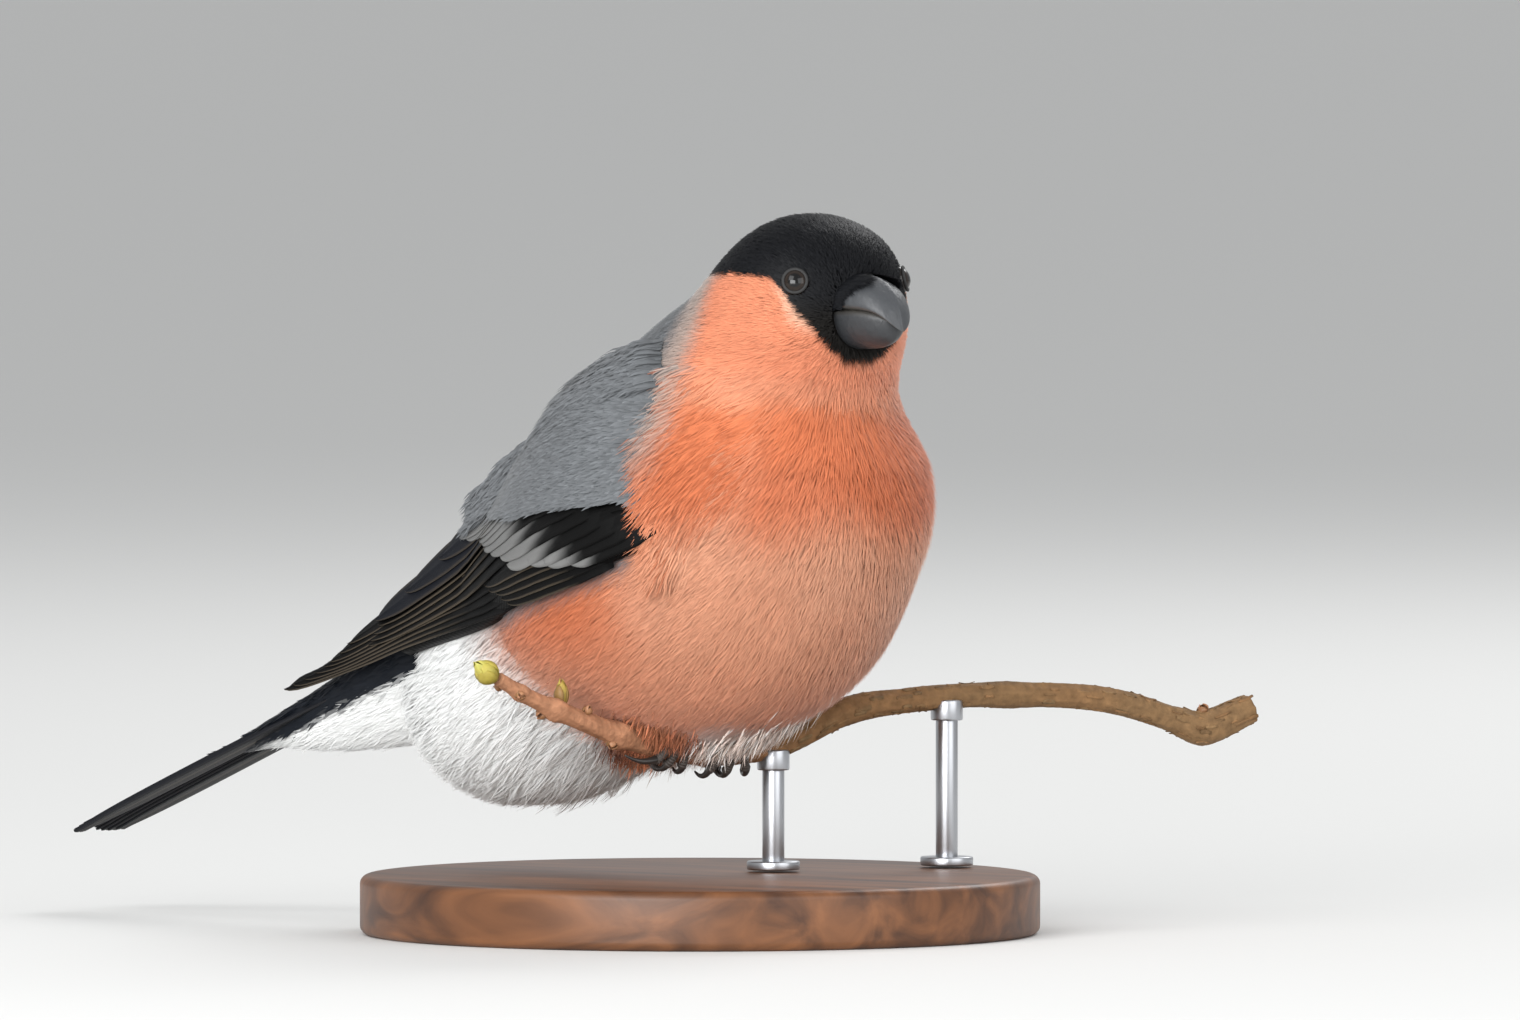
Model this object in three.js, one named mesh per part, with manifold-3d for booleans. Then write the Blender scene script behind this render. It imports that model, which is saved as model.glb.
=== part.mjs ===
// A cock bullfinch, fluffed up and gripping a cut length of twig, life size, on a plain display stand.
// Sizes are millimetres and +Z is up. The bird faces +X with its left side at +Y, and the origin is on
// the floor under the middle of the stand's round base.
import * as THREE from "three";
import { mergeVertices } from "three/addons/utils/BufferGeometryUtils.js";
import Module from "manifold-3d";

const wasm = await Module();
wasm.setup();

const GAP = 0.3; // clearance between neighbouring pieces
const RIGHT = -1; // the sign of Y on each side of the bird
const LEFT = 1;
const point = (x, y, z) => new THREE.Vector3(x, y, z);
const radians = THREE.MathUtils.degToRad;
const mix = THREE.MathUtils.lerp;

// Stand
const BASE_RADIUS = 46;
const BASE_HEIGHT = 8;
const BASE_EDGE = 1.2;
const ROD_RADIUS = 1.5;
const ROD_FOOT_RADIUS = 3.6;
const ROD_FOOT_HEIGHT = 1.2;
const CRADLE_RADIUS = 2.3;
const CRADLE_HEIGHT = 2.4;

// Head
const SKULL_CENTRE = point(19, -1.3, 85.2);
const SKULL_RADII = point(12.2, 13.4, 12.2);
const HEAD_TURN = -13; // degrees: the bird looks a little to its right
const EYE_RADIUS = 2.0;
const EYE_FORWARD = 7.6;
const EYE_RISE = 3.4;
const EYE_DEPTH = 0.9; // how far the eye's middle lies under the plumage
const LID_RADIUS = 0.38;

// Tail
const TAIL_ROOT = point(-34, 0, 42.4);
const TAIL_SLOPE = radians(-23.8);
const TAIL_LENGTH = 77;

// The plumage is one soft surface over a few rounded masses: centre, radii, turn and pitch in degrees, and
// the width over which each flows into those before it.
const MASSES = [
  { centre: SKULL_CENTRE, radii: SKULL_RADII, turn: HEAD_TURN, pitch: 0 },
  { centre: point(20.5, -1.6, 88.4), radii: point(10.2, 12.3, 8.8), turn: HEAD_TURN, pitch: 0, blend: 2 },
  { centre: point(11.6, -0.2, 76.6), radii: point(18.2, 17, 13.5), turn: 0, pitch: 30, blend: 6 },
  { centre: point(5.8, 0, 58.5), radii: point(27.4, 25, 24), turn: 0, pitch: 0, blend: 7 },
  { centre: point(-1.5, 0, 46), radii: point(28.5, 24.5, 20.5), turn: 0, pitch: 0, blend: 7 },
  { centre: point(-22, 0, 43), radii: point(22, 14.5, 11), turn: 0, pitch: 32, blend: 7 },
  { centre: point(-24, 0, 31.5), radii: point(19.5, 13.8, 14), turn: 0, pitch: 6, blend: 9 },
];

function massMatrix({ centre, turn, pitch }) {
  const turned = new THREE.Matrix4().makeRotationZ(radians(turn));
  turned.multiply(new THREE.Matrix4().makeRotationY(radians(-pitch)));
  return turned.setPosition(centre).invert();
}

for (const mass of MASSES) mass.inward = massMatrix(mass);

// Roughly the distance from p to the mass's surface, negative inside.
function massDistance(p, mass) {
  const local = p.clone().applyMatrix4(mass.inward);
  const near = local.clone().divide(mass.radii);
  const steep = near.clone().divide(mass.radii).length();
  return (near.length() * (near.length() - 1)) / Math.max(steep, 1e-6);
}

function blendedDistance(a, b, width) {
  const overlap = Math.max(width - Math.abs(a - b), 0) / width;
  return Math.min(a, b) - (overlap * overlap * width) / 4;
}

function plumageDistance(p) {
  return MASSES.reduce((near, mass) => (
    mass.blend ? blendedDistance(near, massDistance(p, mass), mass.blend) : massDistance(p, mass)
  ), 0);
}

function plumageNormal(p) {
  const step = 0.05;
  const slope = (axis) => plumageDistance(p.clone().addScaledVector(axis, step)) -
    plumageDistance(p.clone().addScaledVector(axis, -step));
  return point(slope(point(1, 0, 0)), slope(point(0, 1, 0)), slope(point(0, 0, 1))).normalize();
}

// A closed geometry becomes a solid for cutting and joining, its faces turned outwards if they point in.
function solidOf(geometry) {
  const bare = new THREE.BufferGeometry();
  bare.setAttribute("position", geometry.getAttribute("position"));
  if (geometry.index) bare.setIndex(geometry.index);
  const merged = mergeVertices(bare, 1e-4);
  const corners = merged.index.array;
  const faces = [];
  for (let i = 0; i < corners.length; i += 3) {
    const [a, b, c] = corners.slice(i, i + 3);
    if (a !== b && b !== c && c !== a) faces.push([a, b, c]);
  }
  const build = (triangles) => new wasm.Manifold(new wasm.Mesh({
    numProp: 3,
    vertProperties: new Float32Array(merged.getAttribute("position").array),
    triVerts: new Uint32Array(triangles.flat()),
  }));
  const made = build(faces);
  return made.volume() > 0 ? made : build(faces.map(([a, b, c]) => [a, c, b]));
}

function joined(solids) {
  return solids.reduce((a, b) => a.add(b));
}

// The largest closed surface of a solid, which drops loose scraps and fills sealed hollows.
function mainBody(solid) {
  return solid.decompose().reduce((a, b) => (b.volume() > a.volume() ? b : a));
}

// Joins rings of equal numbers of points into a closed skin, with a fan over each end.
function loft(rings) {
  const count = rings[0].length;
  const vertices = rings.flat();
  const faces = [];
  for (let i = 0; i + 1 < rings.length; i++) {
    for (let j = 0; j < count; j++) {
      const a = i * count + j;
      const b = i * count + ((j + 1) % count);
      faces.push(a, b, b + count, a, b + count, a + count);
    }
  }
  const cap = (ring, first, flip) => {
    const centre = ring.reduce((sum, p) => sum.add(p), point(0, 0, 0)).divideScalar(count);
    vertices.push(centre);
    for (let j = 0; j < count; j++) {
      const a = first + j;
      const b = first + ((j + 1) % count);
      faces.push(vertices.length - 1, flip ? b : a, flip ? a : b);
    }
  };
  cap(rings[0], 0, true);
  cap(rings[rings.length - 1], (rings.length - 1) * count, false);
  return new THREE.BufferGeometry().setFromPoints(vertices).setIndex(faces);
}

// A round tube along a list of points, with a radius for each point.
function tube(points, radii, sides) {
  const curve = new THREE.CatmullRomCurve3(points);
  const rings = points.map((centre, i) => {
    const along = curve.getTangent(i / (points.length - 1));
    const across = along.clone().cross(point(0.123, 0.234, 0.964)).normalize();
    const upward = across.clone().cross(along);
    return Array.from({ length: sides }, (_, j) => {
      const angle = (2 * Math.PI * j) / sides;
      return centre.clone()
        .addScaledVector(across, radii[i] * Math.cos(angle))
        .addScaledVector(upward, radii[i] * Math.sin(angle));
    });
  });
  return loft(rings);
}

// A thin closed plate from two facing grids of points, split into triangles alike on both faces.
function plate(top, bottom) {
  const rows = top.length;
  const columns = top[0].length;
  const at = (face, i, j) => (face * rows + i) * columns + j;
  const faces = [];
  const quad = (a, b, c, d) => faces.push(a, b, c, a, c, d);
  for (let i = 0; i + 1 < rows; i++) {
    for (let j = 0; j + 1 < columns; j++) {
      const [a, b, c, d] = [[i, j], [i + 1, j], [i + 1, j + 1], [i, j + 1]].map(([r, s]) => at(0, r, s));
      quad(a, b, c, d);
      const below = rows * columns;
      faces.push(a + below, c + below, b + below, a + below, d + below, c + below);
    }
    quad(at(0, i, 0), at(1, i, 0), at(1, i + 1, 0), at(0, i + 1, 0));
    quad(at(0, i + 1, columns - 1), at(1, i + 1, columns - 1), at(1, i, columns - 1), at(0, i, columns - 1));
  }
  for (let j = 0; j + 1 < columns; j++) {
    quad(at(0, 0, j + 1), at(1, 0, j + 1), at(1, 0, j), at(0, 0, j));
    quad(at(0, rows - 1, j), at(1, rows - 1, j), at(1, rows - 1, j + 1), at(0, rows - 1, j + 1));
  }
  return new THREE.BufferGeometry().setFromPoints([...top.flat(), ...bottom.flat()]).setIndex(faces);
}

// The plumage surface as seen from a centre inside it, raised by an even amount.
function plumageAround(centre, reach, detail, raised = 0) {
  const shape = new THREE.IcosahedronGeometry(1, detail);
  const position = shape.getAttribute("position");
  for (let i = 0; i < position.count; i++) {
    const ray = point(0, 0, 0).fromBufferAttribute(position, i).normalize();
    ray.multiply(reach).normalize();
    let [near, far] = [0, 90];
    for (let step = 0; step < 30; step++) {
      const middle = (near + far) / 2;
      if (plumageDistance(centre.clone().addScaledVector(ray, middle)) < raised) near = middle;
      else far = middle;
    }
    const found = centre.clone().addScaledVector(ray, near);
    position.setXYZ(i, found.x, found.y, found.z);
  }
  return solidOf(shape);
}

// Torso, neck and head are one form parted by thin plane cuts.
const NECK_CUT = { height: 69.5, forward: 10, lean: radians(24) };
const HEAD_CUT = { height: 77.5, forward: 14, lean: radians(14) };

function cutNormal(cut) {
  return point(Math.sin(cut.lean), 0, Math.cos(cut.lean));
}

function above(solid, cut) {
  const normal = cutNormal(cut);
  return solid.trimByPlane(normal.toArray(), normal.dot(point(cut.forward, 0, cut.height)) + GAP / 2);
}

function below(solid, cut) {
  const normal = cutNormal(cut);
  const reach = normal.dot(point(cut.forward, 0, cut.height)) - GAP / 2;
  return solid.trimByPlane(normal.negate().toArray(), -reach);
}

const TORSO_CENTRE = point(-2, 0, 50);
const TORSO_REACH = point(1.25, 0.95, 1.2);
const NECK_CENTRE = point(12, 0, 73);
const wholeTorso = plumageAround(TORSO_CENTRE, TORSO_REACH, 7);
const wholeNeck = plumageAround(NECK_CENTRE, point(1, 1, 1), 5);
const wholeHead = plumageAround(SKULL_CENTRE, point(1, 1, 1), 6);

// Head: a place on it is given forwards, leftwards and upwards from the middle of the skull.
function onHead(forward, left, up) {
  return point(forward, left, up).applyAxisAngle(point(0, 0, 1), radians(HEAD_TURN)).add(SKULL_CENTRE);
}

// The eye's middle sits just inside the plumage, so that about a third of the ball shows.
function eyeCentre(side) {
  const outward = onHead(0, side, 0).sub(SKULL_CENTRE);
  const centre = onHead(EYE_FORWARD, side * 6, EYE_RISE);
  while (plumageDistance(centre) < -EYE_DEPTH) centre.addScaledVector(outward, 0.02);
  return centre;
}

function ball(centre, radius, detail) {
  return solidOf(new THREE.IcosahedronGeometry(radius, detail).translate(centre.x, centre.y, centre.z));
}

function lid(side) {
  const centre = eyeCentre(side);
  const outward = plumageNormal(centre);
  const ring = new THREE.TorusGeometry(EYE_RADIUS + GAP / 2, LID_RADIUS, 7, 16);
  const facing = new THREE.Quaternion().setFromUnitVectors(point(0, 0, 1), outward);
  const place = centre.clone().addScaledVector(outward, EYE_DEPTH + 0.1);
  return solidOf(ring.applyQuaternion(facing).translate(place.x, place.y, place.z));
}

// Bill: each half is lofted along its length from the curves of its top and bottom edge.
const BILL_BASE = 7.0;
const BILL_TIP = 19.3;
const LOWER_TIP = 0.93; // the lower half ends just short of the upper
const BILL_HALF_WIDTH = 5.0;

function culmen(t) {
  return -2.9 + 7.3 * (1 - t ** 4) ** 0.6;
}

function cuttingEdge(t) {
  return -0.15 - 2.75 * t ** 7;
}

function gonys(t) {
  return -1.9 - 3.6 * (1 - Math.min(t / LOWER_TIP, 1) ** 5) ** 0.4;
}

function billHalf(upper, tip) {
  const rings = [];
  const steps = 9;
  const around = 9;
  for (let i = 0; i <= steps; i++) {
    const t = (tip * i) / steps;
    const forward = mix(BILL_BASE, BILL_TIP, t);
    const halfWidth = BILL_HALF_WIDTH * (upper ? 1 : 0.94) * Math.sqrt(Math.max(1 - (t / tip) ** 2.4, 0.004));
    const edge = cuttingEdge(t) + (upper ? GAP / 2 : -GAP / 2);
    const ridge = upper ? Math.max(culmen(t), edge + 0.25) : Math.min(gonys(t), edge - 0.25);
    const ring = [];
    for (let j = 0; j < around; j++) {
      const angle = (Math.PI * j) / (around - 1);
      const swell = Math.sin(angle) ** 0.8;
      ring.push(onHead(forward, halfWidth * Math.cos(angle), mix(edge, ridge, swell)));
    }
    rings.push(ring);
  }
  return solidOf(loft(rings));
}

const headRaised = plumageAround(SKULL_CENTRE, point(1, 1, 1), 6, GAP);

// The nostrils are small pits beside the culmen, where the bill leaves the plumage.
function nostril(side) {
  return ball(onHead(12.7, side * 2.6, 3.7), 0.6, 1);
}

const billUpper = mainBody([RIGHT, LEFT].reduce((bill, side) => bill.subtract(nostril(side)),
  billHalf(true, 1).subtract(headRaised)));
const billLower = mainBody(billHalf(false, LOWER_TIP).subtract(headRaised));

function headSolid() {
  let head = above(wholeHead, HEAD_CUT);
  for (const side of [RIGHT, LEFT]) {
    head = head.add(lid(side)).subtract(ball(eyeCentre(side), EYE_RADIUS + GAP, 3));
  }
  return mainBody(head);
}

// Wing: a surface between a back edge and a belly edge, from the shoulder to the tip, that is draped
// over the plumage. A place on it is s along, v across and a lift above it.
const WING_BACK_EDGE = new THREE.CatmullRomCurve3([
  point(8, 15, 73), point(-5, 14.5, 69), point(-18, 12.5, 62.5), point(-31.5, 9.5, 54.2),
  point(-44.5, 8.2, 45), point(-56, 7.8, 37), point(-63.5, 7.8, 32.4),
]);
const WING_BELLY_EDGE = new THREE.CatmullRomCurve3([
  point(13, 24, 54), point(1.5, 24.5, 49.5), point(-11, 22.5, 45.3), point(-24, 18.5, 41.2),
  point(-37.5, 14, 38), point(-51, 10.2, 34.4), point(-64.5, 7.8, 31.2),
]);

function wingPlace(side, s, v, lift) {
  const place = WING_BACK_EDGE.getPoint(s).lerp(WING_BELLY_EDGE.getPoint(s), v);
  for (let turn = 0; turn < 8; turn++) {
    const short = lift + 0.7 - plumageDistance(place);
    if (short < 0.02) break;
    place.addScaledVector(plumageNormal(place), short);
  }
  return place.setY(place.y * side);
}

function wingNormal(side, s, v) {
  const step = 0.01;
  const along = wingPlace(side, s + step, v, 0).sub(wingPlace(side, s - step, v, 0));
  const across = wingPlace(side, s, v + step, 0).sub(wingPlace(side, s, v - step, 0));
  return along.cross(across).multiplyScalar(-side).normalize();
}

function wingPoint(side, s, v, lift) {
  return wingPlace(side, s, v, 0).addScaledVector(wingNormal(side, s, v), lift);
}

// A feather's vane is a thin blade with a raised shaft. It widens from its sunk root and rounds off at its
// tip, and it is tilted, so that one edge lies over its neighbour. place gives a point on its surface.
const VANE_THICKNESS = 0.55;
const SHAFT_RISE = 0.14;
const ROOT_SINK = 0.8;
const VANE_OUTLINE = [[0, 0.55], [0.32, 0.94], [0.74, 0.96], [0.94, 0.6], [1, 0.14]];

function vane(place, halfWidth, lift, tilt) {
  const grid = (depth) => VANE_OUTLINE.map(([t, width]) => [-1, 0, 1].map((edge) => {
    const sink = ROOT_SINK * Math.max(0, 1 - t / 0.2);
    const rise = edge === 0 ? SHAFT_RISE : edge * tilt * width;
    return place(t, edge * width * halfWidth, lift + rise - sink - depth);
  }));
  return solidOf(plate(grid(0), grid(VANE_THICKNESS)));
}

// A small repeatable variation from feather to feather.
function vary(index, amount) {
  return amount * Math.sin(index * 12.9898 + 4.1);
}

// The wing's rows of feathers, from the back's edge to the belly's: the places [s, v] of the first and last
// root and of the first and last tip in each row.
const PRIMARIES = {
  count: 5, roots: [[0.3, 0.5], [0.34, 0.93]], tips: [[0.8, 0.15], [0.995, 0.7]],
  halfWidth: 2.2, lift: 0.6, tilt: 0.3,
};
const SECONDARIES = {
  count: 4, roots: [[0.24, 0.2], [0.28, 0.62]], tips: [[0.7, 0.12], [0.76, 0.55]],
  halfWidth: 2.5, lift: 0.8, tilt: 0.35,
};
const TERTIALS = {
  count: 3, roots: [[0.2, 0.08], [0.22, 0.34]], tips: [[0.56, 0.1], [0.72, 0.2]],
  halfWidth: 3.1, lift: 1.3, tilt: 0.35,
};
const PRIMARY_COVERTS = {
  count: 3, roots: [[0.14, 0.8], [0.12, 0.95]], tips: [[0.42, 0.76], [0.36, 0.95]],
  halfWidth: 1.9, lift: 1, tilt: 0.3,
};
const GREATER_COVERTS = {
  count: 6, roots: [[0.24, 0.09], [0.03, 0.84]], tips: [[0.5, 0.08], [0.2, 0.9]],
  halfWidth: 3, lift: 1.6, tilt: 0.4,
};
const WING_ROWS = [PRIMARIES, SECONDARIES, TERTIALS, PRIMARY_COVERTS, GREATER_COVERTS];

function wingFeather(side, row, index) {
  const step = index / (row.count - 1);
  const root = row.roots[0].map((from, axis) => mix(from, row.roots[1][axis], step));
  const tip = row.tips[0].map((from, axis) => mix(from, row.tips[1][axis], step));
  tip[0] += vary(index + row.count, 0.006);
  const place = (t, across, lift) => {
    const s = mix(root[0], tip[0], t);
    const chord = WING_BACK_EDGE.getPoint(s).distanceTo(WING_BELLY_EDGE.getPoint(s));
    return wingPoint(side, s, mix(root[1], tip[1], t) + across / chord, lift);
  };
  return vane(place, row.halfWidth + vary(index, 0.12), row.lift, row.tilt);
}

// The wing's body under its feathers: it hugs the flank all round its edges and thins towards the tip.
function wingCore(side) {
  const rows = 10;
  const columns = 6;
  const crown = (s, v) => Math.min(1, s * 6) ** 0.5 * Math.sin(Math.PI * mix(0.12, 0.88, v)) ** 0.5;
  const grid = (lift) => Array.from({ length: rows + 1 }, (_, i) => Array.from({ length: columns + 1 }, (_, j) => {
    const s = mix(0.01, 0.68, i / rows);
    return wingPoint(side, s, mix(0.02, 0.98, j / columns), lift(s, j / columns));
  }));
  const top = grid((s, v) => mix(1.3, 0.2, s ** 0.6) * crown(s, v));
  return solidOf(plate(top, grid((s) => mix(-3.5, -0.5, s ** 0.6))));
}

const torsoRaised = plumageAround(TORSO_CENTRE, TORSO_REACH, 7, GAP);

function wingSolid(side) {
  const feathers = WING_ROWS.flatMap((row) => (
    Array.from({ length: row.count }, (_, index) => wingFeather(side, row, index))
  ));
  return mainBody(joined([wingCore(side), ...feathers]).subtract(torsoRaised));
}

// Tail: a flat closed fan that slopes down behind the bird. A place on it is given along, outwards and up.
function onTail(along, outward, up) {
  return point(-along, outward, up).applyAxisAngle(point(0, 1, 0), TAIL_SLOPE).add(TAIL_ROOT);
}

function tailSection(along, halfWidth, top, bottom) {
  const sides = 12;
  return Array.from({ length: sides }, (_, j) => {
    const angle = (2 * Math.PI * j) / sides;
    const rise = Math.sin(angle);
    return onTail(along, halfWidth * Math.cos(angle), rise > 0 ? top * rise : bottom * -rise);
  });
}

// Tail feathers lie in pairs, the middle pair on top and each outer one tucked a little lower.
const TAIL_PAIRS = 6;
const TAIL_FEATHER_ROOT = 14;
const TAIL_HALF_WIDTH = 2.3;
const TAIL_LAYER = 0.26;

function tailFeather(side, pair) {
  const length = TAIL_LENGTH - [2, 1.2, 0.6, 0, 0.4, 1.8][pair];
  const place = (t, across, lift) => {
    const outward = mix(0.7 + 0.5 * pair, 1.2 + 0.98 * pair, t);
    return onTail(mix(TAIL_FEATHER_ROOT, length, t), side * (outward + across), lift);
  };
  return vane(place, TAIL_HALF_WIDTH + vary(pair, 0.08), 0.5 - TAIL_LAYER * pair, -0.08);
}

function tailSolid() {
  const coverts = loft([
    tailSection(0, 9, 3.5, -15), tailSection(8, 8.6, 2.6, -15), tailSection(18, 7.6, 1.6, -12),
    tailSection(30, 5.6, 0.9, -8), tailSection(40, 4.6, 0.6, -3.6), tailSection(48, 3, 0.3, -1),
  ]);
  const feathers = [RIGHT, LEFT].flatMap((side) => (
    Array.from({ length: TAIL_PAIRS }, (_, pair) => tailFeather(side, pair))
  ));
  return mainBody(joined([solidOf(coverts), ...feathers]).subtract(torsoRaised));
}

// Twig: a crooked length with its cut end to the bird's left and a bud at its thin end.
const TWIG_ROUTE = [
  [-5.7, -38, 35.6], [-4.9, -32, 32.9], [-3.4, -22.5, 29.6], [-2.2, -12, 26.6], [-1.2, -3, 24.8],
  [0.4, 4, 24.2], [4.4, 12, 25.2], [9.3, 21, 29.6], [13, 28.5, 30.8], [20.5, 43, 31.4], [27.5, 57.5, 30.2],
  [31.5, 66, 27.6], [33.5, 70.5, 26.2], [37, 77, 28.6],
].map(([x, y, z]) => point(x, y, z));
const TWIG_RADII = [1.25, 1.35, 1.5, 1.6, 1.65, 1.65, 1.7, 2.0, 1.75, 1.7, 1.75, 1.8, 2.5, 2.1];
const twigCurve = new THREE.CatmullRomCurve3(TWIG_ROUTE);

function twigRadius(t) {
  const place = t * (TWIG_RADII.length - 1);
  const low = Math.min(Math.floor(place), TWIG_RADII.length - 2);
  return mix(TWIG_RADII[low], TWIG_RADII[low + 1], place - low);
}

function twigSolid(grown = 0, sides = 8) {
  const steps = 36;
  const places = Array.from({ length: steps + 1 }, (_, i) => i / steps);
  return solidOf(tube(places.map((t) => twigCurve.getPoint(t)), places.map((t) => twigRadius(t) + grown), sides));
}

const twig = twigSolid();
const twigRaised = twigSolid(GAP * 1.4, 10);

// Feet: each grips the twig with three toes over the front and one from behind. A place round the twig
// is a shift along it, an angle from the bird's front upwards, and a distance from its middle.
const FOOT_AT = { [RIGHT]: 0.276, [LEFT]: 0.385 };
const TOE_RADIUS = 0.72;

function roundTwig(side, shift, angle, distance) {
  const middle = twigCurve.getPoint(FOOT_AT[side]);
  const along = twigCurve.getTangent(FOOT_AT[side]);
  const up = point(0, 0, 1).addScaledVector(along, -along.z).normalize();
  const front = along.clone().cross(up);
  return middle.addScaledVector(along, shift)
    .addScaledVector(front, distance * Math.cos(angle))
    .addScaledVector(up, distance * Math.sin(angle));
}

function toe(side, { spread, from, to, clawSweep, clawShift = 0 }, grown) {
  const grip = twigRadius(FOOT_AT[side]) + GAP + TOE_RADIUS + 0.12;
  const steps = 5;
  const bend = (i) => radians(mix(from, to, i / steps));
  const path = Array.from({ length: steps + 1 }, (_, i) => roundTwig(side, spread * (i / steps), bend(i), grip));
  const thickness = path.map((_, i) => TOE_RADIUS * (1.08 - 0.22 * (i / steps)) + grown);
  const clawSteps = 4;
  const turn = Math.sign(to - from);
  const claw = Array.from({ length: clawSteps + 1 }, (_, i) => {
    const t = i / clawSteps;
    const angle = radians(to + turn * (clawSweep * t - 8));
    const shift = spread * (1 + 0.25 * t) + clawShift * t;
    return roundTwig(side, shift, angle, grip + 0.5 * Math.sin(Math.PI * t) - 0.25 * t);
  });
  const taper = claw.map((_, i) => 0.56 * (1 - 0.82 * (i / clawSteps)) + grown);
  return solidOf(tube(path, thickness, 5)).add(solidOf(tube(claw, taper, 4)));
}

function ankle(side) {
  return roundTwig(side, 0, radians(100), twigRadius(FOOT_AT[side]) + GAP + 1.3);
}

// Three front toes and the hind toe. The right foot's inner claw reaches out along the twig.
const TOES = {
  [RIGHT]: [
    { spread: -2.4, from: 95, to: -58, clawSweep: 30, clawShift: -4.4 },
    { spread: 0.1, from: 88, to: -62, clawSweep: 60 },
    { spread: 2.8, from: 95, to: -52, clawSweep: 62 },
    { spread: 0.4, from: 92, to: 238, clawSweep: 66 },
  ],
  [LEFT]: [
    { spread: -3, from: 95, to: -52, clawSweep: 62 },
    { spread: 0.1, from: 88, to: -62, clawSweep: 60 },
    { spread: 3, from: 95, to: -52, clawSweep: 62 },
    { spread: 0.4, from: 92, to: 238, clawSweep: 66 },
  ],
};

function footShape(side, grown = 0) {
  const toes = TOES[side].map((sizes) => toe(side, sizes, grown));
  return joined([...toes, ball(ankle(side), 1.35 + grown, 1)]);
}

function footSolid(side) {
  return mainBody(footShape(side).subtract(twigRaised));
}

// Legs: the short shank is hidden by the feathered shin, which hangs out of the belly down to the foot.
const SHANK_RADIUS = 0.95;

function legSolid(side, foot, grown = 0) {
  const low = ankle(side).add(point(-0.2, 0, 0.9));
  const high = point(low.x - 2.5, side * 7.5, low.z + 11);
  const at = (t) => low.clone().lerp(high, t);
  const path = [0, 0.12, 0.3, 0.6, 1].map(at);
  const radii = [SHANK_RADIUS, 1.5, 2.5, 3.6, 4.2].map((r) => r + grown);
  const leg = solidOf(tube(path, radii, 10));
  return foot ? mainBody(leg.subtract(foot).subtract(twigRaised)) : leg;
}

const feet = Object.fromEntries([RIGHT, LEFT].map((side) => [side, footSolid(side)]));

// The foot as its neighbours must clear it. Its flat-sided tubes need a little more than the gap.
function footRoom(side) {
  return footShape(side, GAP * 1.4);
}

function torsoSolid() {
  let torso = below(wholeTorso, NECK_CUT).subtract(twigRaised);
  for (const side of [RIGHT, LEFT]) {
    torso = torso.subtract(legSolid(side, null, GAP)).subtract(footRoom(side));
  }
  return mainBody(torso);
}

// Buds: an opening one at the twig's end and a smaller one on its upper side.
function budSolid(centre, length, width, lean) {
  const bud = new THREE.SphereGeometry(1, 10, 8);
  const position = bud.getAttribute("position");
  for (let i = 0; i < position.count; i++) {
    const swell = 1 + 0.12 * Math.cos(3 * Math.atan2(position.getX(i), position.getZ(i)));
    position.setXYZ(i, position.getX(i) * width * swell, position.getY(i) * length, position.getZ(i) * width * swell);
  }
  const facing = new THREE.Quaternion().setFromUnitVectors(point(0, 1, 0), lean.clone().normalize());
  return solidOf(bud.applyQuaternion(facing).translate(centre.x, centre.y, centre.z)).subtract(twigRaised);
}

// Stand: a round base and two rods with a small foot and a cradle under the twig.
function turned(profile, sides) {
  const shape = new THREE.LatheGeometry(profile.map(([r, z]) => new THREE.Vector2(r, z)), sides);
  return solidOf(shape.rotateX(Math.PI / 2));
}

function baseSolid() {
  return turned([
    [0, 0], [BASE_RADIUS - BASE_EDGE, 0], [BASE_RADIUS, BASE_EDGE], [BASE_RADIUS, BASE_HEIGHT - BASE_EDGE],
    [BASE_RADIUS - BASE_EDGE, BASE_HEIGHT], [0, BASE_HEIGHT],
  ], 40);
}

function rodSolid(t) {
  const top = twigCurve.getPoint(t);
  const foot = BASE_HEIGHT + GAP;
  const rod = turned([
    [0, foot], [ROD_FOOT_RADIUS, foot], [ROD_FOOT_RADIUS, foot + ROD_FOOT_HEIGHT],
    [ROD_RADIUS, foot + ROD_FOOT_HEIGHT + 0.8], [ROD_RADIUS, top.z - CRADLE_HEIGHT - 1.6],
    [CRADLE_RADIUS, top.z - CRADLE_HEIGHT], [CRADLE_RADIUS, top.z - 0.4], [0, top.z - 0.4],
  ], 12).translate([top.x, top.y, 0]);
  return mainBody(rod.subtract(twigRaised));
}

// Finishes
const finish = (color, roughness, metalness = 0) => new THREE.MeshStandardMaterial({ color, roughness, metalness });
const BLACK_PLUMAGE = finish(0x14161a, 0.6);
const ORANGE_PLUMAGE = finish(0xd9714a, 0.85);
const GREY_PLUMAGE = finish(0x7d8288, 0.85);
const BILL_HORN = finish(0x2c2e31, 0.4);
const EYE_GLOSS = finish(0x0b0a0a, 0.08);
const LEG_HORN = finish(0x33302f, 0.6);
const BARK = finish(0x8a7458, 0.9);
const BUD_GREEN = finish(0xa9a64a, 0.7);
const BASE_WOOD = finish(0x5a3d28, 0.55);
const ROD_METAL = finish(0x9a9ca0, 0.35, 1);

const bird = new THREE.Group();

function addPiece(name, solid, material) {
  const { numProp, vertProperties, triVerts } = solid.getMesh();
  const geometry = new THREE.BufferGeometry();
  geometry.setAttribute("position", new THREE.BufferAttribute(new Float32Array(vertProperties), numProp));
  geometry.setIndex(new THREE.BufferAttribute(new Uint32Array(triVerts), 1));
  geometry.computeVertexNormals();
  const mesh = new THREE.Mesh(geometry, material);
  mesh.name = name;
  bird.add(mesh);
}

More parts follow.
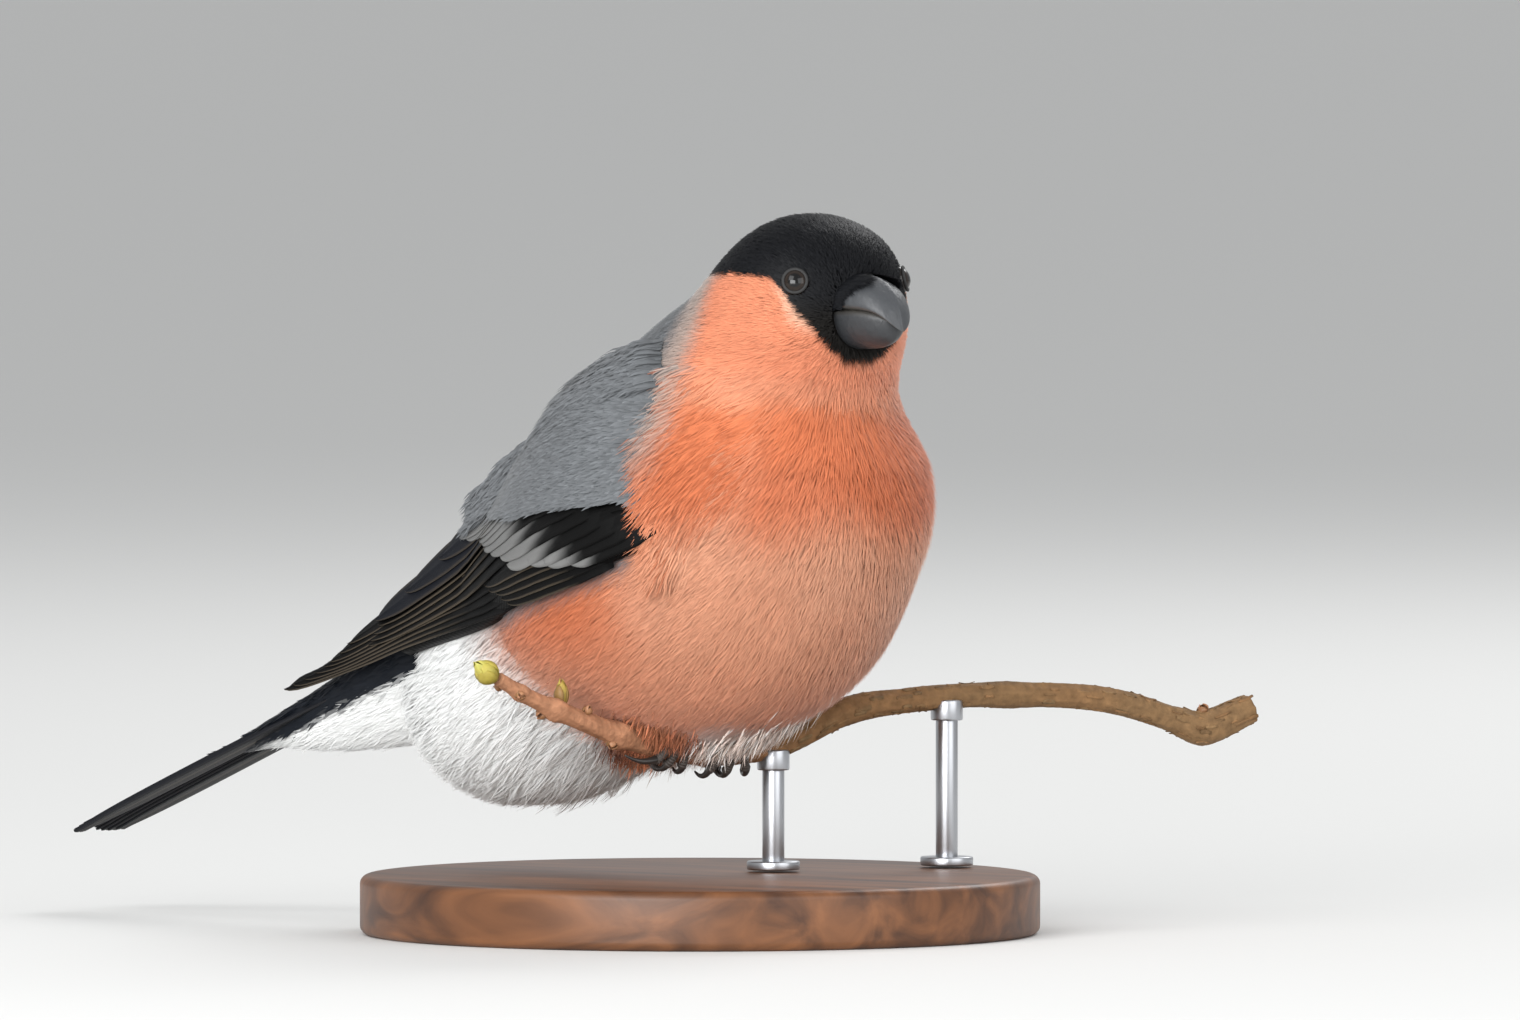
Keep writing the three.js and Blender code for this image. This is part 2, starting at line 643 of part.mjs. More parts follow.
addPiece("head", headSolid(), BLACK_PLUMAGE);
addPiece("neck", mainBody(below(above(wholeNeck, NECK_CUT), HEAD_CUT)), ORANGE_PLUMAGE);
addPiece("torso", torsoSolid(), ORANGE_PLUMAGE);
addPiece("bill_upper", billUpper, BILL_HORN);
addPiece("bill_lower", billLower, BILL_HORN);
addPiece("tail", tailSolid(), BLACK_PLUMAGE);
for (const [side, word] of [[RIGHT, "right"], [LEFT, "left"]]) {
  addPiece(`eye_${word}`, ball(eyeCentre(side), EYE_RADIUS, 2), EYE_GLOSS);
  addPiece(`wing_${word}`, wingSolid(side), GREY_PLUMAGE);
  addPiece(`leg_${word}`, legSolid(side, footRoom(side)), ORANGE_PLUMAGE);
  addPiece(`foot_${word}`, feet[side], LEG_HORN);
}
addPiece("twig", twig, BARK);
addPiece("bud_end", mainBody(budSolid(point(-6.1, -40.6, 37.2), 2.6, 1.7, point(-0.3, -1, 0.45))), BUD_GREEN);
addPiece("bud_side", mainBody(budSolid(point(-3.9, -26, 33.9), 1.8, 1.0, point(-0.1, -0.2, 1))), BUD_GREEN);
addPiece("stand_base", baseSolid(), BASE_WOOD);
addPiece("stand_rod_near", rodSolid(0.455), ROD_METAL);
addPiece("stand_rod_far", rodSolid(0.65), ROD_METAL);

export default bird;
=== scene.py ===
import math

import bpy
import numpy as np
from mathutils import Matrix, Vector
from mathutils.kdtree import KDTree


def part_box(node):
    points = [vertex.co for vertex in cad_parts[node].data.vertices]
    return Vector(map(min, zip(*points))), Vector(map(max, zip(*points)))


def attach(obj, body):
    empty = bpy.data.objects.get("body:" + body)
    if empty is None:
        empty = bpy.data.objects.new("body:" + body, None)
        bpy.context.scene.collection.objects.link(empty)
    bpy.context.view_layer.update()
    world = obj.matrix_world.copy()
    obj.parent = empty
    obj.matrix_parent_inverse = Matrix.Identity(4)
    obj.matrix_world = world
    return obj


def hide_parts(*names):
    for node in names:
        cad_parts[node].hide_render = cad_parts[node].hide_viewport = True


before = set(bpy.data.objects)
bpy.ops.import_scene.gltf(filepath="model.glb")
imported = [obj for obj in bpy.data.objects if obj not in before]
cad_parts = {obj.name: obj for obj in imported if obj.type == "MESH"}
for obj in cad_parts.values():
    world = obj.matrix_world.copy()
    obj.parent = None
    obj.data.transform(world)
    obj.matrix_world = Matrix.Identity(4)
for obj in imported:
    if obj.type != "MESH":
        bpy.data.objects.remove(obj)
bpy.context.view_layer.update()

# Camera and studio: a long lens from the bird's front right, a pale floor, a large soft key from the upper
# left of the picture, a weaker fill and a rim light from behind. Shapes are worked out in millimetres.
MM = 0.001
VIEW_AZIMUTH = math.radians(36)
VIEW_ELEVATION = math.radians(2)
CAMERA_DISTANCE = 3.0
LENS, SENSOR_WIDTH = 525.8, 36
AIM_ASIDE, AIM_HEIGHT = 0.008108, 0.057297
SIDEWAYS = Vector((math.cos(VIEW_AZIMUTH), math.sin(VIEW_AZIMUTH), 0))
TOWARDS_CAMERA = Vector((
    math.sin(VIEW_AZIMUTH) * math.cos(VIEW_ELEVATION),
    -math.cos(VIEW_AZIMUTH) * math.cos(VIEW_ELEVATION),
    math.sin(VIEW_ELEVATION),
))
aim = SIDEWAYS * AIM_ASIDE + Vector((0, 0, AIM_HEIGHT))
# Each light's place from the aim, to the side, towards the camera and up, in metres, then its watts and size.
LIGHTS = {
    "key_light": (-0.65, 0.85, 0.8, 6.5, 0.8),
    "fill_light": (1.0, 1.0, 0.3, 10, 1.2),
    "low_light": (-0.45, 1.2, 0.02, 24, 0.9),
    "rim_light": (0.5, -0.9, 0.9, 6, 0.6),
}
WORLD_COLOUR, WORLD_STRENGTH = (0.86, 0.87, 0.88, 1), 0.7
FLOOR_COLOUR, FLOOR_SIZE = (0.72, 0.72, 0.71, 1), 60
WET_ROUGHNESS = 0.04


def nothing_selected():
    if bpy.context.object and bpy.context.object.mode != "OBJECT":
        bpy.ops.object.mode_set(mode="OBJECT")
    bpy.ops.object.select_all(action="DESELECT")


def choose(piece):
    nothing_selected()
    piece.select_set(True)
    bpy.context.view_layer.objects.active = piece


def joined(pieces):
    nothing_selected()
    for piece in pieces:
        piece.select_set(True)
    bpy.context.view_layer.objects.active = pieces[0]
    bpy.ops.object.join()
    return pieces[0]


def in_edit_mode(piece, operation, **settings):
    choose(piece)
    bpy.ops.object.mode_set(mode="EDIT")
    bpy.ops.mesh.select_all(action="SELECT")
    operation(**settings)
    bpy.ops.object.mode_set(mode="OBJECT")


def soft_light(name, place, watts, size):
    bpy.ops.object.light_add(type="AREA", location=place)
    lamp = bpy.context.object
    lamp.name = name
    lamp.data.energy = watts
    lamp.data.size = size
    lamp.visible_camera = False
    lamp.rotation_euler = (aim - lamp.location).to_track_quat("-Z", "Y").to_euler()


nothing_selected()
bpy.ops.object.camera_add(location=aim + TOWARDS_CAMERA * CAMERA_DISTANCE)
camera = bpy.context.object
camera.rotation_euler = TOWARDS_CAMERA.to_track_quat("Z", "Y").to_euler()
camera.data.lens = LENS
camera.data.sensor_width = SENSOR_WIDTH
camera.data.clip_end = 100
bpy.context.scene.camera = camera

for name, (aside, towards, up, watts, size) in LIGHTS.items():
    soft_light(name, aim + SIDEWAYS * aside + TOWARDS_CAMERA * towards + Vector((0, 0, up)), watts, size)
bpy.context.scene.view_settings.view_transform = "Standard"
world = bpy.data.worlds.new("studio")
bpy.context.scene.world = world
world.use_nodes = True
world.node_tree.nodes["Background"].inputs["Color"].default_value = WORLD_COLOUR
world.node_tree.nodes["Background"].inputs["Strength"].default_value = WORLD_STRENGTH


def shader(name, roughness=0.6, specular=0.5, sheen=0.0, gloss=0.0, metal=0.0):
    material = bpy.data.materials.new(name)
    material.use_nodes = True
    for socket, value in (("Roughness", roughness), ("Specular IOR Level", specular), ("Sheen Weight", sheen),
                          ("Coat Weight", gloss), ("Coat Roughness", WET_ROUGHNESS), ("Metallic", metal)):
        principled(material).inputs[socket].default_value = value
    return material


def node(material, kind, **settings):
    made = material.node_tree.nodes.new(kind)
    for name, value in settings.items():
        setattr(made, name, value)
    return made


def wire(material, source, target):
    material.node_tree.links.new(source, target)


def maths(material, operation, *terms):
    """The output of a Math node. Each term is a number or another node's output."""
    made = node(material, "ShaderNodeMath", operation=operation)
    for socket, term in zip(made.inputs, terms):
        if isinstance(term, (int, float)):
            socket.default_value = term
        else:
            wire(material, term, socket)
    return made.outputs[0]


def uv_axes(material, uv_name):
    place = node(material, "ShaderNodeUVMap", uv_map=uv_name)
    axes = node(material, "ShaderNodeSeparateXYZ")
    wire(material, place.outputs["UV"], axes.inputs["Vector"])
    return axes.outputs["X"], axes.outputs["Y"]


def principled(material):
    return material.node_tree.nodes["Principled BSDF"]


def bump_from(material, height, strength, distance):
    bump = node(material, "ShaderNodeBump")
    bump.inputs["Strength"].default_value = strength
    bump.inputs["Distance"].default_value = distance
    wire(material, height, bump.inputs["Height"])
    wire(material, bump.outputs["Normal"], principled(material).inputs["Normal"])


def linear(*srgb):
    """Linear colour of 0 to 255 display values."""
    values = np.array(srgb, float) / 255
    return np.where(values <= 0.04045, values / 12.92, ((values + 0.055) / 1.055) ** 2.4)


bpy.ops.mesh.primitive_plane_add(size=FLOOR_SIZE, location=(0, 0, 0))
floor = bpy.context.object
floor.name = "studio_floor"
floor_paint = shader("pale floor", roughness=0.8, specular=0.1)
principled(floor_paint).inputs["Base Color"].default_value = FLOOR_COLOUR
floor.data.materials.append(floor_paint)

# The bird's form: the outside of its coat is one soft surface over a few rounded masses, the same as the
# carved body's. Each mass has a centre, radii, turn, pitch and the width over which it flows into the others.
SKULL_CENTRE = np.array([19, -1.3, 85.2])
SKULL_RADII = np.array([12.2, 13.4, 12.2])
HEAD_TURN = -13
MASSES = [
    (SKULL_CENTRE, SKULL_RADII, HEAD_TURN, 0, 0),
    ((20.5, -1.6, 88.4), (10.2, 12.3, 8.8), HEAD_TURN, 0, 2),
    ((11.6, -0.2, 76.6), (18.2, 17, 13.5), 0, 30, 6),
    ((5.8, 0, 58.5), (27.4, 25, 24), 0, 0, 7),
    ((-1.5, 0, 46), (28.5, 24.5, 20.5), 0, 0, 7),
    ((-22, 0, 43), (22, 14.5, 11), 0, 32, 7),
    ((-24, 0, 31.5), (19.5, 13.8, 14), 0, 6, 9),
]
RIGHT, LEFT = -1, 1
SIDES = ((RIGHT, "right"), (LEFT, "left"))
SLOPE_STEP = 0.05


def turned_and_pitched(turn, pitch):
    turned = Matrix.Rotation(math.radians(turn), 3, "Z")
    return np.array(turned @ Matrix.Rotation(math.radians(-pitch), 3, "Y"))


def mass_distance(p, centre, radii, rotation):
    scaled = ((p - np.array(centre)) @ rotation) / np.array(radii)
    size = np.linalg.norm(scaled, axis=-1)
    steep = np.linalg.norm(scaled / np.array(radii), axis=-1)
    return size * (size - 1) / np.maximum(steep, 1e-6)


TURNED = [turned_and_pitched(turn, pitch) for _, _, turn, pitch, _ in MASSES]


def plumage_distance(p):
    near = None
    for (centre, radii, _, _, blend), rotation in zip(MASSES, TURNED):
        distance = mass_distance(p, centre, radii, rotation)
        if near is None:
            near = distance
            continue
        overlap = np.maximum(blend - np.abs(near - distance), 0) / blend
        near = np.minimum(near, distance) - overlap ** 2 * blend / 4
    return near


def plumage_normal(p):
    slope = [plumage_distance(p + axis) - plumage_distance(p - axis) for axis in np.eye(3) * SLOPE_STEP]
    return unit(np.stack(slope, -1))


def unit(v):
    return v / np.maximum(np.linalg.norm(v, axis=-1, keepdims=True), 1e-9)


def mix(a, b, t):
    return a + (b - a) * t


def ease(low, high, x):
    t = np.clip((x - low) / (high - low), 0, 1)
    return t * t * (3 - 2 * t)


HEAD_AXES = turned_and_pitched(HEAD_TURN, 0)


def on_head(forward, left, up):
    return HEAD_AXES @ np.array([forward, left, up], float) + SKULL_CENTRE


def head_place(p):
    """Forward, left and up from the middle of the skull."""
    return (p - SKULL_CENTRE) @ HEAD_AXES


# Markings, shared by the skin, the body's tufts and the strands over the wing: black cap and bib, salmon face
# and breast, blue-grey mantle, white rump and vent, black coverts over the tail. Edges are broken by a little
# noise.
CAP_BLACK = linear(17, 18, 21)
BIB_BLACK = linear(17, 15, 13)
CHEEK_SALMON = linear(208, 129, 95)
THROAT_ORANGE = linear(190, 94, 48)
BREAST_SALMON = linear(198, 139, 109)
FLANK_ORANGE = linear(188, 90, 40)
BELLY_PINK = linear(216, 149, 117)
FRINGE_BUFF = linear(226, 190, 164)
MANTLE_GREY = linear(102, 105, 108)
NECK_GREY = linear(160, 142, 132)
VENT_WHITE = linear(228, 229, 228)
SHIN_BROWN = linear(150, 92, 62)
COVERT_BLACK = linear(20, 24, 31)


def ripple(p, size, phase=0.0):
    """A smooth wandering noise between about -1 and 1."""
    q = p / size + phase
    wave = np.sin(q[:, 0] * 1.7 + 1.3 * np.sin(q[:, 1] * 1.1 + q[:, 2]))
    wave += np.sin(q[:, 1] * 2.3 + 1.7 * np.sin(q[:, 2] * 0.9 - q[:, 0] * 0.7))
    wave += np.sin(q[:, 2] * 1.9 + 1.1 * np.sin(q[:, 0] * 1.3 + q[:, 1] * 0.5))
    return wave / 3


def cap_height(place):
    """How far a place on the head lies above the black cap's and bib's lower border."""
    forward, aside, up = place[:, 0], np.abs(place[:, 1]), place[:, 2]
    front = -7.1 + 8.2 * (aside / 10.2) ** 1.9
    rear = 4.2 + 0.07 * (5.3 - forward)
    return up - mix(rear, front, ease(5.2, 8.2, forward))


def mantle_share(p):
    x, z = p[:, 0], p[:, 2]
    border = 9 - 0.25 * np.maximum(z - 78, 0) + 1.2 * ripple(p, 5)
    over_flank = z - (52 + 0.33 * (x - 8))
    return (1 - ease(-2.4, 2.4, x - border)) * ease(-2, 2, over_flank)


TAIL_ROOT = np.array([-34, 0, 42.4])
TAIL_SLOPE = math.radians(-23.8)


def tail_place(p):
    """Distance along the tail from its root, and height above its middle."""
    x, z = p[:, 0] - TAIL_ROOT[0], p[:, 2] - TAIL_ROOT[2]
    slope, level = math.sin(TAIL_SLOPE), math.cos(TAIL_SLOPE)
    return -x * level + z * slope, x * slope + z * level


def white_share(p):
    x, y, z = p.T
    under = x + 13 + 1.2 * (z - 33) + 2.5 * ripple(p, 6, 2)
    rump = 1 - ease(-3, 3, x + 25 + 0.25 * np.abs(y) + 1.5 * ripple(p, 4, 5))
    rear = np.where(z > 44, rump * ease(10, 30, -x), 1 - ease(-6, 6, under))
    low = 1 - ease(27, 31.5, z + 0.8 * ripple(p, 3))
    by_left_foot = low * ease(-2, 3, y + 0.7 * x + 2) * (1 - ease(14, 20, x))
    return np.maximum(rear, 0.85 * by_left_foot)


def tail_covert_share(p):
    along, up = tail_place(p)
    return ease(1, 5, along) * ease(-0.7, 0.7, up + 4.4 - 0.055 * along + 0.2 * ripple(p, 2.2))


def blended(base, colour, share):
    return base + (colour - base) * np.asarray(share)[:, None]


def in_one(colour, count):
    return np.tile(colour, (count, 1))


def markings(p):
    """The coat's colour at each place, and how far it belongs to the black cap and bib."""
    place = head_place(p)
    colour = in_one(BREAST_SALMON, len(p))
    height = p[:, 2] + 1.5 * ripple(p, 8, 1)
    band = ease(55, 64, height) * (1 - ease(72, 78, height)) * ease(12, 22, p[:, 0] + 0.3 * p[:, 1])
    colour = blended(colour, THROAT_ORANGE, 0.8 * band)
    colour = blended(colour, CHEEK_SALMON, ease(73, 79, height))
    colour = blended(colour, BELLY_PINK, 1 - ease(30, 44, height))
    flank = ease(6, 24, np.abs(p[:, 1])) * (1 - ease(-2, 18, p[:, 0])) * ease(30, 48, p[:, 2])
    colour = blended(colour, FLANK_ORANGE, 0.75 * flank)
    pale = np.maximum(ripple(p * [1, 1, 0.7], 6, 11), 0)
    pale = pale * ease(36, 50, height) * (1 - ease(62, 74, height))
    colour = blended(colour, FRINGE_BUFF, 0.16 * pale)
    side_of_neck = (1 - ease(2, 7, p[:, 0] - 8.2)) * ease(62, 72, p[:, 2])
    colour = blended(colour, NECK_GREY, side_of_neck)
    colour = blended(colour, MANTLE_GREY, mantle_share(p))
    colour = blended(colour, VENT_WHITE, white_share(p))
    colour = blended(colour, COVERT_BLACK, tail_covert_share(p))
    border = cap_height(place) + 0.35 * ripple(p, 1.1, 3)
    on_the_head = ease(77, 79, p[:, 2])
    above_bib = 1 - ease(-5.5, -3, -place[:, 2] - 7)
    fringe = ease(-2.2, -0.4, border) * ease(6, 8.5, place[:, 0]) * on_the_head * above_bib
    colour = blended(colour, FRINGE_BUFF, 0.55 * fringe)
    black = ease(-0.35, 0.35, border) * on_the_head
    dark = blended(in_one(BIB_BLACK, len(p)), CAP_BLACK, ease(-2, 2, place[:, 2]))
    return blended(colour, dark, black), black


# Skin: one closed hide under the whole coat, made from the head, neck, torso and shins. The pieces are
# filled with their rounded masses, swollen until they meet, fused, smoothed and drawn in by the coat's depth.
SKIN_SWELL = 0.4 * MM
COAT_DEPTH = 1.5 * MM
SKIN_STEP = 0.8 * MM
FILLING = 0.99
SKIN_PAINTED_SHADE = 0.55
FLESH = ("head", "neck", "torso", "leg_right", "leg_left")


def finish_modifier(piece, kind, **settings):
    choose(piece)
    modifier = piece.modifiers.new(kind.lower(), kind)
    for name, value in settings.items():
        setattr(modifier, name, value)
    bpy.ops.object.modifier_apply(modifier=modifier.name)


def copied_node(name):
    made = bpy.data.objects.new(name + "_copy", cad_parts[name].data.copy())
    bpy.context.scene.collection.objects.link(made)
    return made


def paint_vertices(piece, name, colours):
    layer = piece.data.color_attributes.new(name=name, type="FLOAT_COLOR", domain="POINT")
    flat = np.ones((len(colours), 4), np.float32)
    flat[:, :3] = colours
    layer.data.foreach_set("color", flat.ravel())


def vertex_places(mesh):
    flat = np.empty(len(mesh.vertices) * 3, np.float32)
    mesh.vertices.foreach_get("co", flat)
    return flat.reshape(-1, 3).astype(float) / MM


def unwrap_for_baking(piece):
    while piece.data.uv_layers:
        piece.data.uv_layers.remove(piece.data.uv_layers[0])
    piece.data.uv_layers.new(name="OFBake")
    in_edit_mode(piece, bpy.ops.uv.smart_project, angle_limit=math.radians(66), island_margin=0.004)


copies = [copied_node(name) for name in FLESH]
for (middle, radii, _, _, _), rotation in zip(MASSES, TURNED):
    nothing_selected()
    bpy.ops.mesh.primitive_uv_sphere_add(segments=64, ring_count=40, radius=1)
    filling = bpy.context.object
    filling.matrix_world = (Matrix.Translation(Vector(middle) * MM) @ Matrix(rotation.tolist()).to_4x4()
                            @ Matrix.Diagonal((*(np.array(radii) * MM * FILLING), 1)))
    bpy.ops.object.transform_apply(location=True, rotation=True, scale=True)
    copies.append(filling)
skin = joined(copies)
skin.name = "skin"
in_edit_mode(skin, bpy.ops.mesh.remove_doubles, threshold=1e-6)
finish_modifier(skin, "DISPLACE", strength=SKIN_SWELL, mid_level=0)
finish_modifier(skin, "REMESH", mode="VOXEL", voxel_size=SKIN_STEP)
finish_modifier(skin, "SMOOTH", factor=0.5, iterations=8)
finish_modifier(skin, "DISPLACE", strength=-SKIN_SWELL - COAT_DEPTH, mid_level=0)

# Sockets and clearances are filled in, so that the hide lies evenly below the coat.
hide = vertex_places(skin.data)
for _ in range(4):
    below = plumage_distance(hide)
    pull = (-COAT_DEPTH / MM - below) * (1 - ease(-0.6, 0.2, below))
    hide = hide + plumage_normal(hide) * pull[:, None]
skin.data.vertices.foreach_set("co", (hide * MM).astype(np.float32).ravel())
skin.data.update()
choose(skin)
bpy.ops.object.shade_smooth()
unwrap_for_baking(skin)
# The hide takes the coat's markings painted darker. This is painted shade deep in the coat, between the tufts.
paint_vertices(skin, "coat_colour", markings(vertex_places(skin.data))[0] * SKIN_PAINTED_SHADE)


def attribute_colour(material, name, variation=0.0, size=400.0):
    """Feeds the named colour attribute to the surface, with a faint mottling."""
    colour = node(material, "ShaderNodeAttribute", attribute_name=name)
    if not variation:
        wire(material, colour.outputs["Color"], principled(material).inputs["Base Color"])
        return
    place = node(material, "ShaderNodeTexCoord")
    mottle = node(material, "ShaderNodeTexNoise")
    mottle.inputs["Scale"].default_value = size
    wire(material, place.outputs["Object"], mottle.inputs["Vector"])
    tint = node(material, "ShaderNodeMixRGB", blend_type="MULTIPLY")
    tint.inputs["Fac"].default_value = 1
    shade = node(material, "ShaderNodeMapRange")
    shade.inputs["To Min"].default_value = 1 - variation
    shade.inputs["To Max"].default_value = 1 + variation
    wire(material, mottle.outputs["Fac"], shade.inputs["Value"])
    wire(material, colour.outputs["Color"], tint.inputs["Color1"])
    wire(material, shade.outputs["Result"], tint.inputs["Color2"])
    wire(material, tint.outputs["Color"], principled(material).inputs["Base Color"])


down = shader("down under the coat", roughness=0.95, specular=0.1)
attribute_colour(down, "coat_colour", 0.2, 900)
skin.data.materials.clear()
skin.data.materials.append(down)
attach(skin, "root")
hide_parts(*FLESH)

# Coat: some two hundred thousand hair-like tufts. Each is a thin blade rooted on the skin that lies back along
# the body, away from the bill, and its length, breadth and lift change over the bird.
TUFT_STATIONS = np.array([0.0, 0.34, 0.7, 1.0])
TUFT_BREADTHS = np.array([0.55, 1.0, 0.72, 0.0])
TUFT_PATCH = 0.003
ROOT_PAINTED_SHADE = 0.82
LARGEST_PIECE = 38000
PARTING = on_head(9, 0, -1)
EYE_SPOT = (7.6, 10.4, 3.4)
draw = np.random.default_rng(20417)


def mesh_of(name, points, corners, sizes, material, uvs=None, colours=None, colour_name="coat_colour"):
    """A mesh object from flat arrays of points in millimetres, face corners and face sizes."""
    mesh = bpy.data.meshes.new(name)
    mesh.vertices.add(len(points))
    mesh.vertices.foreach_set("co", (points * MM).astype(np.float32).ravel())
    mesh.loops.add(len(corners))
    mesh.loops.foreach_set("vertex_index", corners.astype(np.int32))
    mesh.polygons.add(len(sizes))
    starts = np.concatenate([[0], np.cumsum(sizes)[:-1]]).astype(np.int32)
    mesh.polygons.foreach_set("loop_start", starts)
    mesh.update(calc_edges=True)
    for layer_name, values in (uvs or {}).items():
        layer = mesh.uv_layers.new(name=layer_name)
        layer.data.foreach_set("uv", values[corners].astype(np.float32).ravel())
    mesh.polygons.foreach_set("use_smooth", np.ones(len(sizes), bool))
    piece = bpy.data.objects.new(name, mesh)
    bpy.context.scene.collection.objects.link(piece)
    if colours is not None:
        paint_vertices(piece, colour_name, colours)
    mesh.materials.append(material)
    return piece


def closed_loft(rings, ends):
    """Points, face corners and face sizes of a closed skin over rings, with a middle point at each end."""
    rows, columns, _ = rings.shape
    index = np.arange(rows * columns).reshape(rows, columns)
    following = np.roll(index, -1, axis=1)
    wall = np.stack([index[:-1], index[1:], following[1:], following[:-1]], -1).reshape(-1, 4)
    first = np.stack([following[0], np.full(columns, rows * columns), index[0]], -1)
    last = np.stack([index[-1], np.full(columns, rows * columns + 1), following[-1]], -1)
    corners = np.concatenate([wall.ravel(), first.ravel(), last.ravel()])
    sizes = np.concatenate([np.full(len(wall), 4), np.full(2 * columns, 3)])
    return np.concatenate([rings.reshape(-1, 3), ends]), corners, sizes


def roots_on(piece, wanted, weight):
    """Random root places, normals and bake coordinates on a mesh, denser where weight is larger."""
    mesh = piece.data
    mesh.calc_loop_triangles()
    triangles = np.empty(len(mesh.loop_triangles) * 3, np.int32)
    mesh.loop_triangles.foreach_get("vertices", triangles)
    loops = np.empty(len(mesh.loop_triangles) * 3, np.int32)
    mesh.loop_triangles.foreach_get("loops", loops)
    corner = vertex_places(mesh)[triangles.reshape(-1, 3)]
    uv = np.empty(len(mesh.loops) * 2, np.float32)
    mesh.uv_layers["OFBake"].data.foreach_get("uv", uv)
    uv = uv.reshape(-1, 2)[loops.reshape(-1, 3)]
    across = np.cross(corner[:, 1] - corner[:, 0], corner[:, 2] - corner[:, 0])
    share = np.linalg.norm(across, axis=1) * weight(corner.mean(1))
    picked = draw.choice(len(corner), wanted, p=share / share.sum())
    a, b = np.sqrt(draw.random(wanted)), draw.random(wanted)
    portion = np.stack([1 - a, a * (1 - b), a * b], 1)[:, :, None]
    return (corner[picked] * portion).sum(1), unit(across[picked]), (uv[picked] * portion).sum(1)


def coat(name, material, roots, normals, flow, uv, length, breadth, rise, colours, slot, root_painted_shade=ROOT_PAINTED_SHADE):
    """Joins one blade for each root: it leaves the skin, bends over and lies along the flow."""
    count = len(roots)
    if count > LARGEST_PIECE:
        half = count // 2
        for part, mine in (("_a", slice(0, half)), ("_b", slice(half, count))):
            coat(name + part, material, roots[mine], normals[mine], flow[mine], uv[mine], length[mine],
                 breadth[mine], rise[mine], colours[mine], slot, root_painted_shade)
        return
    aside = unit(np.cross(normals, flow))
    points = np.empty((count, 7, 3))
    paint = np.empty((count, 7, 3))
    patch = np.empty((count, 7, 2))
    facing = np.empty((count, 7, 3))
    tilt = draw.normal(0, 0.09, (count, 1))
    curl = draw.normal(0, 0.09, count)
    for i, (t, broad) in enumerate(zip(TUFT_STATIONS, TUFT_BREADTHS)):
        height = rise * (1 - (1 - t) ** 2.2)
        centre = roots + flow * (length * t)[:, None] + normals * height[:, None]
        centre += aside * (curl * length * t * t)[:, None]
        half = aside * (breadth * broad / 2)[:, None]
        # Each blade is painted darker at its root, fading to a slightly lightened tip. This is painted shade down
        # in the coat.
        shade = mix(root_painted_shade, 1.03, t ** 0.7)
        lean = normals + flow * 0.12 * t
        if i == 3:
            points[:, 6], paint[:, 6] = centre, colours * shade
            facing[:, 6] = lean + aside * tilt
            patch[:, 6] = uv + np.array([0, TUFT_PATCH])
            continue
        points[:, 2 * i], points[:, 2 * i + 1] = centre - half, centre + half
        paint[:, 2 * i] = paint[:, 2 * i + 1] = colours * shade
        facing[:, 2 * i], facing[:, 2 * i + 1] = lean + aside * (tilt - 0.12), lean + aside * (tilt + 0.12)
        patch[:, 2 * i] = uv + np.array([-TUFT_PATCH / 2, TUFT_PATCH * t])
        patch[:, 2 * i + 1] = uv + np.array([TUFT_PATCH / 2, TUFT_PATCH * t])
    blade = np.array([0, 2, 3, 1, 2, 4, 5, 3, 4, 6, 5])
    corners = (blade[None, :] + 7 * np.arange(count)[:, None]).ravel()
    sizes = np.tile([4, 4, 3], count)
    piece = mesh_of(name, points.reshape(-1, 3), corners, sizes, material,
                    {"OFBake": patch.reshape(-1, 2)}, paint.reshape(-1, 3))
    piece.data.normals_split_custom_set_from_vertices(unit(facing.reshape(-1, 3)).astype(np.float32))
    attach(piece, "root")


def laid_flat(flow, normals):
    """The directions in flow, turned into the surface that has these normals."""
    return unit(flow - normals * (flow * normals).sum(1, keepdims=True))


def lie_of_coat(p, normals):
    """The way the coat lies: away from the bill, swept back and down, and flat on the skin."""
    away = unit(p - PARTING)
    back = np.array([-0.55, 0, -0.12]) * ease(8, 30, np.linalg.norm(p - PARTING, axis=1))[:, None]
    lie = away + back + 0.10 * np.stack([ripple(p, 7), ripple(p, 6, 4), ripple(p, 8, 7)], 1)
    return laid_flat(lie + draw.normal(0, 0.07, p.shape), normals)


def coat_weight(p):
    return 1 + 1.6 * ease(74, 80, p[:, 2]) + 0.4 * ease(0, 12, p[:, 0])


soft_coat = shader("soft body feathers", roughness=0.72, specular=0.25, sheen=0.25)
cap_gloss = shader("glossy cap feathers", roughness=0.5, specular=0.14)
scaly_coat = shader("fine mantle feathers", roughness=0.6, specular=0.3, sheen=0.1)
for finish in (soft_coat, cap_gloss, scaly_coat):
    attribute_colour(finish, "coat_colour")

BODY_TUFTS = 205000
roots, normals, uv = roots_on(skin, BODY_TUFTS, coat_weight)
outer = roots + normals * COAT_DEPTH / MM
colours, black = markings(outer)
place = head_place(outer)
near_bill = 1 - ease(4, 11, np.linalg.norm(outer - on_head(12, 0, -0.5), axis=1))
to_eye = np.minimum(*(np.linalg.norm(place - np.array(EYE_SPOT) * [1, side, 1], axis=1) for side in (RIGHT, LEFT)))
near_eye = 1 - ease(2.2, 6, to_eye)
head_share = ease(72, 82, outer[:, 2])
grey = mantle_share(outer)
white = white_share(outer)
over_tail = tail_covert_share(outer)
length = mix(5.8, 2.6, head_share)
length = mix(length, 3.4, grey * (1 - head_share))
length = mix(length, 6.2, white * (1 - over_tail))
length = mix(length, 1.6, black * head_share)
length = mix(length, 1.0, np.maximum(near_bill, near_eye)) * draw.uniform(0.75, 1.2, len(roots))
breadth = mix(0.23, 0.18, head_share)
breadth = mix(breadth, 0.5, grey * (1 - head_share))
breadth = mix(breadth, 0.26, black)
